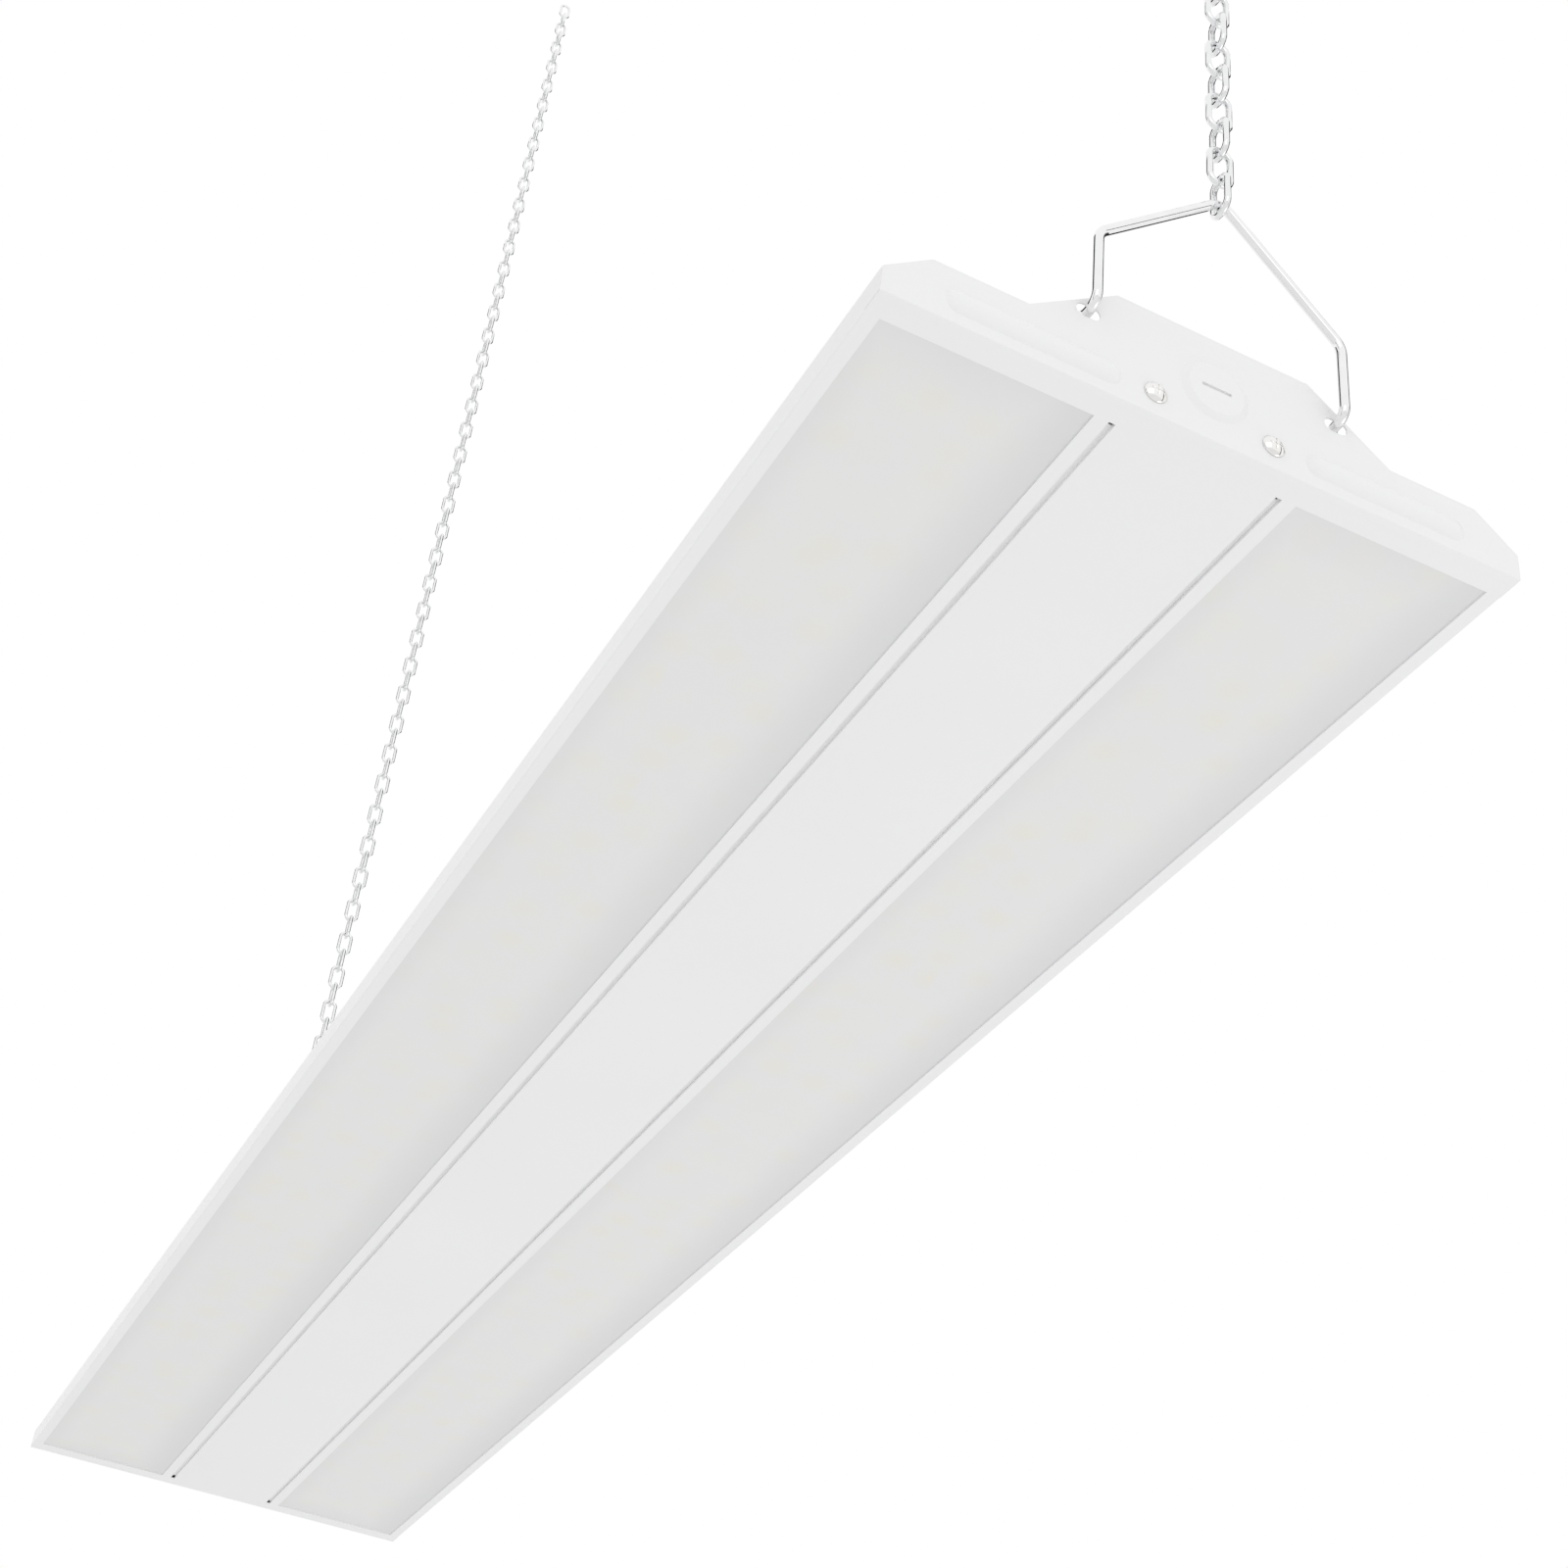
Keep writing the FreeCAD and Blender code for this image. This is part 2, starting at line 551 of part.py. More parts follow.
# ---------------------------------------------------------------- centre cover, trays, lenses
def make_centre_cover():
    """The strip between the grooves: a channel with joggled edges and a screw tab at each end."""
    body = new_body("centre_cover")
    channel = new_sketch(body, "XZ_Plane")
    face, wall = "cover_half", COVER_WALL_OUTSIDE
    right = [
        (face, "0"),
        (face, "cover_step"),
        (wall, "cover_step"),
        (wall, "cover_wall"),
        (f"{wall} - steel", "cover_wall"),
        (f"{wall} - steel", "cover_step + steel"),
        (f"{face} - steel", "cover_step + steel"),
        (f"{face} - steel", "steel"),
    ]
    draw_outline(channel, right + mirrored(right))
    pad(body, channel, OPEN_LENGTH, "both")
    relief = new_sketch(body, "XY_Plane", "cover_step - fit_gap")
    start, end = f"({OPEN_LENGTH} / 2 - cover_relief)", f"({OPEN_LENGTH} / 2 + fit_gap)"
    for y_low, y_high in ((f"-{end}", f"-{start}"), (start, end)):
        notch = rectangle(face, f"{wall} + fit_gap", y_low, y_high)
        draw_outline(relief, notch)
        draw_outline(relief, mirrored(notch))
    pocket(body, relief, "steel + 2 * fit_gap", "backward")
    walls = new_sketch(body, "XZ_Plane")
    wall_end = rectangle(f"{wall} - steel", wall, "cover_step", "cover_wall")
    draw_outline(walls, wall_end)
    draw_outline(walls, mirrored(wall_end))
    pad(body, walls, INNER_LENGTH, "both")
    for end in (-1, 1):
        inside = f"{end} * {INNER_LENGTH} / 2"
        tab = new_sketch(body, "XZ_Plane", inside)
        draw_outline(tab, rectangle(f"-{wall}", wall, "end_steel + fit_gap", "cover_tab_height"))
        pad(body, tab, "steel", "forward" if end < 0 else "backward")
        holes = new_sketch(body, "XZ_Plane", inside)
        for side in (-1, 1):
            draw_circle(holes, f"{side} * screw_half", "end_screw_height", "end_screw_shank")
        pocket(body, holes, "steel", "backward" if end < 0 else "forward")
    return body


def make_tray(label, side):
    """A folded tray: the lip beside the groove, an upright web and a top under the wing."""
    body = new_body(label)
    profile = new_sketch(body, "XZ_Plane")
    web_inside = f"({RAIL_START} + steel)"
    corners = [
        (RAIL_START, "0"),
        (RAIL_END, "0"),
        (RAIL_END, "steel"),
        (web_inside, "steel"),
        (web_inside, BOARD_TOP),
        (TRAY_OUTER, BOARD_TOP),
        (TRAY_OUTER, TRAY_TOP),
        (RAIL_START, TRAY_TOP),
    ]
    draw_outline(profile, mirrored(corners) if side < 0 else corners)
    pad(body, profile, INNER_LENGTH, "both")
    notch = new_sketch(body, "XY_Plane", "-fit_gap")
    for y_low, y_high in FLANGE_STRETCHES:
        ends = rectangle(f"{RAIL_START} - fit_gap", f"{RAIL_END} + fit_gap", y_low, y_high)
        draw_outline(notch, mirrored(ends) if side < 0 else ends)
    pocket(body, notch, "end_steel + 2 * fit_gap", "backward")
    web_holes = new_sketch(body, "YZ_Plane", f"{side} * ({RAIL_START} + steel / 2)")
    hole = "wire_diameter / 2 + grommet_wall"
    for driver in (NEAR_DRIVER, FAR_DRIVER):
        for lead in (-1, 1):
            draw_circle(web_holes, lead_crossing(driver, lead), LEAD_HEIGHT, hole)
    pocket(body, web_holes, "2 * steel", "both")
    rivets = new_sketch(body, "XY_Plane", TRAY_TOP)
    for place in tray_rivet_places():
        draw_circle(rivets, f"{side} * {TRAY_RIVET_LINE}", place, "rivet_shank")
    pocket(body, rivets, "steel")
    screws = new_sketch(body, "XY_Plane", TRAY_TOP)
    for end in (-1, 1):
        for place in board_screw_places(end):
            draw_circle(screws, f"{side} * {BAY_CENTRE}", place, "board_screw_shank")
    pocket(body, screws, "steel")
    return body


def make_lens(label, side):
    """A frosted sheet that lies on the rim, the rail and the end plates' flanges."""
    body = new_body(label)
    section = new_sketch(body, "XZ_Plane")
    inner, outer = f"{RAIL_END} - lens_lip", f"{RIM_START} + lens_lip"
    plate = rectangle(inner, outer, "end_steel", "end_steel + lens_thickness")
    draw_outline(section, mirrored(plate) if side < 0 else plate)
    pad(body, section, f"({INNER_LENGTH} - 2 * fit_gap)", "both")
    return body


# ---------------------------------------------------------------- light boards
BOARD_NEAR = "(body_length / 2 - board_end_gap)"
BOARD_LENGTH = f"({BOARD_NEAR} - board_middle_gap / 2)"
BOARD_CENTRE = f"({BOARD_NEAR} + board_middle_gap / 2) / 2"


def board_screw_places(end):
    """Y of the screws along the board at one end, as formulas."""
    count = int(size("board_screws"))
    step = f"{BOARD_LENGTH} / board_screws"
    middle = f"{end} * {BOARD_CENTRE}"
    return [f"{middle} + {step} * ({index} - (board_screws - 1) / 2)" for index in range(count)]


def make_board(label, side, end):
    """An aluminium-core strip under the tray."""
    body = new_body(label)
    outline = new_sketch(body, "XY_Plane", BOARD_FACE)
    middle = f"{side} * {BAY_CENTRE}"
    x_low, x_high = f"{middle} - board_width / 2", f"{middle} + board_width / 2"
    low, high = "board_middle_gap / 2", BOARD_NEAR
    if end < 0:
        low, high = f"-{BOARD_NEAR}", "-board_middle_gap / 2"
    draw_outline(outline, rectangle(x_low, x_high, low, high))
    pad(body, outline, "board_thickness")
    holes = new_sketch(body, "XY_Plane", BOARD_TOP)
    for place in board_screw_places(end):
        draw_circle(holes, middle, place, "board_screw_shank")
    pocket(body, holes, "board_thickness")
    return body


def make_diodes(label, side):
    """Two rows of light diodes on each of a bay's boards."""
    half = size("diode_side") / 2
    top = worth(BOARD_FACE)
    count = int(size("diodes_per_row"))
    step = worth(BOARD_LENGTH) / count
    blocks = []
    for end in (-1, 1):
        for row in (-1, 1):
            x = side * worth(BAY_CENTRE) + row * size("diode_row")
            for index in range(count):
                y = end * worth(BOARD_CENTRE) + step * (index - (count - 1) / 2)
                low = top - size("diode_height")
                blocks.append(block(x - half, x + half, y - half, y + half, low, top))
    return shape_piece(label, joined(blocks))


def make_board_screws():
    """Small domed screws that hold the boards to the trays."""
    screws = []
    for side in (-1, 1):
        for end in (-1, 1):
            for text in board_screw_places(end):
                place = Vector(side * worth(BAY_CENTRE), worth(text), worth(BOARD_FACE))
                length = size("board_thickness") + size("steel")
                screws.append(pan_screw(place, Vector(0, 0, 1), size("board_screw_head"),
                                        size("board_screw_dome"), size("board_screw_shank"), length))
    return shape_piece("board_screws", joined(screws))


def make_connectors():
    """The boards' connectors, where the driver leads arrive."""
    blocks = []
    for side in (-1, 1):
        for driver in (NEAR_DRIVER, FAR_DRIVER):
            x_low, x_high = connector_span(side)
            y = worth(lead_middle(driver))
            half = size("connector_length") / 2
            top = worth(BOARD_FACE)
            blocks.append(block(x_low, x_high, y - half, y + half, top - size("connector_depth"), top))
    return shape_piece("board_connectors", joined(blocks))


def connector_span(side):
    """Low and high X of a connector, which sits at the board's inner edge."""
    inner = worth(BAY_CENTRE) - size("board_width") / 2 + size("fit_gap")
    outer = inner + size("connector_side")
    return (inner, outer) if side > 0 else (-outer, -inner)


# ---------------------------------------------------------------- drivers, terminals, leads
def make_driver(label, centre):
    """A closed driver case with a mounting ear at each end, under the top of the hat."""
    half_width = size("driver_width") / 2
    half_length = size("driver_length") / 2
    top = worth(HAT_UNDER)
    middle = worth(centre)
    case = rounded_block(-half_width, half_width, middle - half_length, middle + half_length,
                         top - size("driver_depth"), top, size("driver_round"))
    ear_width = half_width - size("driver_round")
    ear_reach = half_length + size("driver_ear")
    ears = block(-ear_width, ear_width, middle - ear_reach, middle + ear_reach,
                 top - size("driver_ear_thickness"), top)
    shape = case.fuse(ears)
    for sign in (-1, 1):
        place = Vector(0, middle + sign * (half_length + size("driver_ear") / 2), top)
        shape = shape.cut(Part.makeCylinder(size("driver_screw_shank"), size("driver_ear_thickness"),
                                            place, Vector(0, 0, -1)))
    return shape_piece(label, shape.removeSplitter())


def make_driver_screws():
    """Four screws through the top of the hat into the drivers' ears."""
    screws = []
    length = size("steel") + size("driver_ear_thickness")
    for text in driver_screw_places():
        place = Vector(0, worth(text), size("hat_height"))
        screws.append(pan_screw(place, Vector(0, 0, -1), size("driver_screw_head"),
                                size("driver_screw_dome"), size("driver_screw_shank"), length))
    return shape_piece("driver_screws", joined(screws))


def make_ground_screw():
    """The bonding screw, through the top of the hat into the green lead's ring."""
    place = Vector(0, worth(GROUND_SCREW_PLACE), size("hat_height"))
    length = size("steel") + size("wire_diameter") + 2
    screw = pan_screw(place, Vector(0, 0, -1), size("driver_screw_head"), size("driver_screw_dome"),
                      size("driver_screw_shank"), length)
    return shape_piece("ground_screw", screw)


def make_terminal_block():
    """Three push-in terminals under the top of the hat, with open wire mouths."""
    half_width = size("terminal_width") / 2
    half_length = size("terminal_length") / 2
    top = worth(HAT_UNDER)
    middle = worth(TERMINAL_PLACE)
    shape = rounded_block(-half_width, half_width, middle - half_length, middle + half_length,
                          top - size("terminal_depth"), top, size("driver_round"))
    for x in (-size("ground_wire_side"), 0, size("ground_wire_side")):
        mouth = Part.makeCone(size("wire_diameter"), size("wire_diameter") / 2, size("terminal_length") / 4,
                              Vector(x, middle + half_length, top - size("terminal_depth") / 2),
                              Vector(0, -1, 0))
        shape = shape.cut(mouth)
    return shape_piece("terminal_block", shape)


def lead_middle(driver):
    """Y where a driver's leads cross into the bays, as a formula."""
    return f"({driver} - driver_length / 2 - lead_reach)"


def lead_crossing(driver, lead):
    """Y of one lead of a pair where it crosses the tray's web, as a formula."""
    return f"({lead_middle(driver)} + {lead} * lead_spacing / 2)"


def make_board_leads(label, lead):
    """One pole of each driver's output: from the driver's end to a connector in each bay."""
    wires = []
    radius = size("wire_bend")
    top = worth(HAT_UNDER)
    for driver in (NEAR_DRIVER, FAR_DRIVER):
        end = worth(f"{driver} - driver_length / 2")
        y = worth(lead_crossing(driver, lead))
        for side in (-1, 1):
            x = side * (worth(RAIL_START) / 2 + lead * size("lead_spacing") / 2)
            out = top - size("driver_depth") / 2
            x_low, x_high = connector_span(side)
            into = x_low if side > 0 else x_high
            z = worth(LEAD_HEIGHT)
            points = [Vector(x, end, out), Vector(x, y, out), Vector(x, y, z), Vector(into, y, z)]
            wires.append(wire_along(bent_path(points, [radius, radius]), size("wire_diameter")))
    return shape_piece(label, joined(wires))


def make_grommets():
    """Rubber rings in the trays' webs, one round each lead."""
    rings = []
    hole = size("wire_diameter") / 2 + size("grommet_wall")
    lip = size("grommet_flange")
    for side in (-1, 1):
        for driver in (NEAR_DRIVER, FAR_DRIVER):
            for lead in (-1, 1):
                y = worth(lead_crossing(driver, lead))
                way = Vector(side, 0, 0)
                start = Vector(side * (worth(RAIL_START) - lip), y, worth(LEAD_HEIGHT))
                flange = Part.makeCylinder(hole + lip, lip, start, way)
                barrel = Part.makeCylinder(hole, lip + size("steel"), start, way)
                bore = Part.makeCylinder(size("wire_diameter") / 2, lip * 2 + size("steel"), start, way)
                rings.append(flange.fuse(barrel).cut(bore).removeSplitter())
    return shape_piece("web_grommets", joined(rings))


def make_supply_wire(label, pole):
    """One supply conductor, from the terminal block past the far driver to the near one."""
    diameter = size("wire_diameter")
    x = pole * size("ground_wire_side")
    past = pole * (size("driver_width") / 2 + diameter)
    z = worth(HAT_UNDER) - size("terminal_depth") / 2
    start = worth(TERMINAL_PLACE) - size("terminal_length") / 2
    far_end = worth(f"{FAR_DRIVER} + driver_length / 2")
    near_end = worth(f"{NEAR_DRIVER} + driver_length / 2")
    far_start = worth(f"{FAR_DRIVER} - driver_length / 2")
    inner = x - pole * 2 * diameter
    short = wire_along(bent_path([Vector(inner, start, z), Vector(inner, far_end, z)], []), diameter)
    clear = size("driver_ear") + 2 * size("wire_bend")
    points = [
        Vector(x, start, z),
        Vector(x, far_end + 2 * clear, z),
        Vector(past, far_end + clear, z),
        Vector(past, far_start - clear, z),
        Vector(x, far_start - 2 * clear, z),
        Vector(x, near_end, z),
    ]
    bend = 3 * size("wire_bend")
    long_run = wire_along(bent_path(points, [bend] * 4), diameter)
    return shape_piece(label, joined([short, long_run]))


def make_ground_wire():
    """The green conductor with the ring terminal under the bonding screw."""
    diameter = size("wire_diameter")
    screw_y = worth(GROUND_SCREW_PLACE)
    top = worth(HAT_UNDER)
    z = top - diameter / 2
    shank = size("driver_screw_shank")
    ring_radius = shank + 2.5
    ring = Part.makeCylinder(ring_radius, diameter, Vector(0, screw_y, top - diameter))
    ring = ring.cut(Part.makeCylinder(shank, diameter, Vector(0, screw_y, top - diameter)))
    block_end = worth(TERMINAL_PLACE) + size("terminal_length") / 2
    points = [Vector(0, block_end, z), Vector(0, screw_y - shank - 1, z)]
    lead = wire_along(bent_path(points, []), diameter)
    return shape_piece("ground_wire", ring.fuse(lead).removeSplitter())


def make_bushing():
    """The cable inlet: a nylon bushing snapped into the far end plate's open knockout."""
    wall = size("bushing_bore") + size("bushing_wall")
    seat = size("body_length") / 2 + size("knockout_rise")
    z = size("knockout_height")
    start = Vector(0, seat + size("bushing_flange_thickness"), z)
    way = Vector(0, -1, 0)
    length = size("bushing_length")
    shape = Part.makeCylinder(size("bushing_flange"), size("bushing_flange_thickness"), start, way)
    neck_length = size("bushing_flange_thickness") + size("end_steel")
    shape = shape.fuse(Part.makeCylinder(size("knockout_radius"), neck_length, start, way))
    shape = shape.fuse(Part.makeCylinder(wall, length, start, way))
    shape = shape.cut(Part.makeCylinder(size("bushing_bore"), length, start, way))
    return shape_piece("inlet_bushing", shape.removeSplitter())


# ---------------------------------------------------------------- fasteners outside
def make_end_screws(label, end):
    """The two bright domed screws of an end plate, which go into the cover's end tab."""
    screws = []
    way = Vector(0, -end, 0)
    for side in (-1, 1):
        place = Vector(side * size("screw_half"), end * size("body_length") / 2, size("end_screw_height"))
        screws.append(pan_screw(place, way, size("end_screw_head"), size("end_screw_dome"),
                                size("end_screw_shank"), size("end_screw_length")))
    return shape_piece(label, joined(screws))


def make_rivets(label, places, z, length):
    """Blind rivets with their domes up."""
    rivets = []
    for x, y in places:
        rivets.append(pan_screw(Vector(x, y, z), Vector(0, 0, -1), size("rivet_head"),
                                size("rivet_dome"), size("rivet_shank"), length))
    return shape_piece(label, joined(rivets))


def end_rivet_positions():
    reach = size("body_length") / 2 - size("end_rivet_inset")
    return [(side * size("end_rivet_half"), end * reach) for end in (-1, 1) for side in (-1, 1)]


def tray_rivet_positions():
    half = worth(TRAY_RIVET_LINE)
    return [(side * half, worth(text)) for side in (-1, 1) for text in tray_rivet_places()]


# ---------------------------------------------------------------- hooks and chains
def hook_half(side):
    """Centre-line points of half a hook, from the tail's end to the top of the leg."""
    outside = -size("hook_stand_off")
    inside = size("end_steel") + size("hook_bend") + size("fit_gap")
    slot = side * size("slot_half")
    z = size("slot_height")
    return [
        Vector(slot + side * size("hook_tail"), inside, z),
        Vector(slot, inside, z),
        Vector(slot, outside, z),
        Vector(side * size("leg_top_half"), outside, size("leg_top_height")),
    ]


def peak_corner():
    """Where the two arms would meet if the peak weren't rounded."""
    rise = size("peak_height") - size("leg_top_height")
    angle = math.atan2(rise, size("leg_top_half"))
    for _ in range(20):
        corner = rise + size("peak_radius") * (1 / math.cos(angle) - 1)
        angle = math.atan2(corner, size("leg_top_half"))
    return size("leg_top_height") + corner


def make_hook(label, end):
    """A bent-wire hook: tails behind the plate, two legs and a rounded peak."""
    bend = size("hook_bend")
    left = hook_half(-1)
    right = hook_half(1)
    peak = Vector(0, -size("hook_stand_off"), peak_corner())
    points = left + [peak] + list(reversed(right))
    radii = [bend, bend, size("leg_bend"), size("peak_radius"), size("leg_bend"), bend, bend]
    wire = wire_along(bent_path(points, radii), size("hook_wire"))
    return shape_piece(label, at_end(wire, end))


def at_end(shape, end):
    """Turns what is drawn against an end plate at Y = 0 to the near or the far end."""
    moved = shape.copy()
    if end > 0:
        moved.rotate(Vector(0, 0, 0), Vector(0, 0, 1), 180)
    moved.translate(Vector(0, end * size("body_length") / 2, 0))
    return moved


def make_link():
    """One oval link, upright in the XZ plane, centred on the origin."""
    wire = size("link_wire")
    bend = (size("link_outer_width") - wire) / 2
    straight = (size("link_inner") + wire) / 2 - bend
    circle = Part.makeCircle(wire / 2, Vector(bend, 0, straight), Vector(0, 0, 1))
    section = Part.Face(Part.Wire([circle]))
    arch = section.revolve(Vector(0, 0, straight), Vector(0, -1, 0), 180)
    legs = [Part.makeCylinder(wire / 2, 2 * straight, Vector(x, 0, -straight)) for x in (-bend, bend)]
    foot = arch.copy()
    foot.rotate(Vector(0, 0, 0), Vector(0, 1, 0), 180)
    return arch.fuse([foot] + legs).removeSplitter()


def link_at(number, end):
    """Link number 1 hangs on the ceiling hook, and even links are turned a quarter."""
    link = make_link()
    if number % 2 == 0:
        link.rotate(Vector(0, 0, 0), Vector(0, 0, 1), 90)
    z = worth(TOP_LINK) - (number - 1) * worth(LINK_STEP)
    link.translate(Vector(0, end * worth(CHAIN_PLACE), z))
    return link


def make_chain(name, end):
    """A chain as five pieces: the two links that swing at the top, the run, and the last two."""
    count = int(size("links_per_chain"))
    if count % 2:
        raise ValueError("the hook's link lies along Y only in a chain of an even number of links")
    stretches = {
        f"{name}_top_link": [1],
        f"{name}_second_link": [2],
        f"{name}_chain_links": range(3, count - 1),
        f"{name}_lower_link": [count - 1],
        f"{name}_bottom_link": [count],
    }
    pieces = []
    for label, numbers in stretches.items():
        links = [link_at(number, end) for number in numbers]
        pieces.append(shape_piece(label, links[0] if len(links) == 1 else joined(links)))
    return pieces


# ---------------------------------------------------------------- the whole light
pieces = [make_housing()]
pieces.append(make_end_plate("near_end_plate", far=False))
pieces.append(make_end_plate("far_end_plate", far=True))
pieces.append(make_centre_cover())
for side, name in ((-1, "left"), (1, "right")):
    pieces.append(make_tray(f"{name}_led_tray", side))
    pieces.append(make_lens(f"{name}_lens", side))
    for end, place in ((-1, "near"), (1, "far")):
        pieces.append(make_board(f"{place}_{name}_led_board", side, end))
    pieces.append(make_diodes(f"{name}_leds", side))
pieces.append(make_board_screws())
pieces.append(make_connectors())
pieces.append(make_driver("near_led_driver", NEAR_DRIVER))
pieces.append(make_driver("far_led_driver", FAR_DRIVER))
pieces.append(make_driver_screws())
pieces.append(make_ground_screw())
pieces.append(make_terminal_block())
pieces.append(make_board_leads("positive_leads", 1))
pieces.append(make_board_leads("negative_leads", -1))
pieces.append(make_grommets())
pieces.append(make_supply_wire("live_wires", 1))
pieces.append(make_supply_wire("neutral_wires", -1))
pieces.append(make_ground_wire())
pieces.append(make_bushing())
for end, name in ((-1, "near"), (1, "far")):
    pieces.append(make_end_screws(f"{name}_end_screws", end))
    pieces.append(make_hook(f"{name}_hook", end))
    pieces.extend(make_chain(name, end))
end_rivet_grip = size("steel") + size("end_steel") + 1
pieces.append(make_rivets("end_plate_rivets", end_rivet_positions(), size("hat_height"), end_rivet_grip))
tray_rivet_grip = 2 * size("steel") + 1
pieces.append(make_rivets("tray_rivets", tray_rivet_positions(), size("wing_height"), tray_rivet_grip))

doc.recompute()
for item in doc.Objects:
    if "Invalid" in item.State or "Error" in item.State:
        raise RuntimeError(f"{item.Label} failed: {item.State}")
for piece in pieces:
    if piece.Shape.isNull() or not piece.Shape.isValid():
        raise RuntimeError(f"{piece.Label} has no valid shape")
for piece in pieces:
    piece.Shape.exportStep(f"parts/{piece.Label}.step")
print(f"{len(pieces)} nodes, hang drop {DROP:.2f} mm")
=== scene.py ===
import math

import bmesh
import bpy
from mathutils import Matrix, Vector


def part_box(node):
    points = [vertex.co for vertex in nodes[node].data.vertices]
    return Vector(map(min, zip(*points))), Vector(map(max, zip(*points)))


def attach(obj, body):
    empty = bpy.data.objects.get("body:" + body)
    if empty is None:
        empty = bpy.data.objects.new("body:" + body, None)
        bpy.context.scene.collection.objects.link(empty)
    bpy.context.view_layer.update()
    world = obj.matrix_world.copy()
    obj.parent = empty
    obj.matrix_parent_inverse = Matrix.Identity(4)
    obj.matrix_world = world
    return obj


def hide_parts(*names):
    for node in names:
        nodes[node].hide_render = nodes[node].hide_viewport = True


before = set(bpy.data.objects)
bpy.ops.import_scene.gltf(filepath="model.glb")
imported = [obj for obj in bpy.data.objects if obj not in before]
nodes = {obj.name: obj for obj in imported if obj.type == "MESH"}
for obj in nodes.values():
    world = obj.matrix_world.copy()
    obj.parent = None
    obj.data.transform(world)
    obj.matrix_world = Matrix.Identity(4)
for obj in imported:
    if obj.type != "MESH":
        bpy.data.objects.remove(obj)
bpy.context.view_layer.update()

scene = bpy.context.scene
endSheet = 0.0006  # an end plate's steel, in front of the housing's end
housingLow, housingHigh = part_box("housing")
nearFace, farFace = housingLow.y - endSheet, housingHigh.y + endSheet  # outer faces of the end plates
underside, hatTop = housingLow.z, housingHigh.z
print("frame loaded:", len(nodes), "nodes")


# Small helpers
def paint(hexCode):  # sRGB hex to the linear colour that a socket takes
    channels = [int(hexCode[i:i + 2], 16) / 255 for i in (0, 2, 4)]
    linear = [c / 12.92 if c <= 0.04045 else ((c + 0.055) / 1.055) ** 2.4 for c in channels]
    return (*linear, 1)


def addNode(tree, kind, inputs=None, **settings):  # inputs are numbers, colours or other nodes' outputs
    node = tree.nodes.new(kind)
    for name, value in settings.items():
        setattr(node, name, value)
    for name, value in (inputs or {}).items():
        if isinstance(value, bpy.types.NodeSocket):
            tree.links.new(value, node.inputs[name])
        else:
            node.inputs[name].default_value = value
    return node


def startMaterial(name, colour, roughness, metallic=0):
    material = bpy.data.materials.new(name)
    material.use_nodes = True
    tree = material.node_tree
    surface = tree.nodes["Principled BSDF"]
    surface.inputs["Base Color"].default_value = paint(colour)
    surface.inputs["Roughness"].default_value = roughness
    surface.inputs["Metallic"].default_value = metallic
    place = addNode(tree, "ShaderNodeTexCoord").outputs["Object"]
    return material, tree, surface, place


def dress(material, *names):  # a carried-over CAD node takes a finish
    for name in names:
        owner = nodes[name]
        if not owner.data.materials:
            owner.data.materials.append(material)
        for holder in owner.material_slots:
            holder.material = material


# Camera, where the photograph was taken from
cameraSetup = {
    "place": (-0.3643, nearFace - 0.5174, underside - 0.6351),
    "yaw": -22.84,   # degrees from +Y, positive towards -X
    "pitch": 37.01,  # upwards
    "roll": 6.60,
    "lens": 58.04,
    "sensor": 36,
    "farthest": 100,  # how far it sees
}


def makeCamera():
    yaw, pitch, roll = (math.radians(cameraSetup[k]) for k in ("yaw", "pitch", "roll"))
    ahead = Vector((-math.sin(yaw) * math.cos(pitch), math.cos(yaw) * math.cos(pitch), math.sin(pitch)))
    level = Vector((math.cos(yaw), math.sin(yaw), 0))
    upright = level.cross(ahead)
    right = level * math.cos(roll) + upright * math.sin(roll)
    up = upright * math.cos(roll) - level * math.sin(roll)
    turn = Matrix((right, up, -ahead)).transposed().to_4x4()
    camera = bpy.data.objects.new("camera", bpy.data.cameras.new("camera"))
    camera.data.lens = cameraSetup["lens"]
    camera.data.sensor_width = cameraSetup["sensor"]
    camera.data.clip_end = cameraSetup["farthest"]
    camera.matrix_world = Matrix.Translation(cameraSetup["place"]) @ turn
    scene.collection.objects.link(camera)
    scene.camera = camera


makeCamera()
print("camera placed")


# Materials
powderCoat = {
    "white": "f4f4f4",
    "cooler": "f1f1f2",
    "patchSize": 0.09,       # slow drift between the two whites
    "peelSize": 0.0032,      # orange peel, really about 1.5 mm across, drawn coarser for the render
    "peelHeight": 0.000002,
    "grainSize": 0.0009,     # fine variation of the sheen
    "roughness": 0.42,
    "sheenRange": 0.06,      # either side of the roughness
}


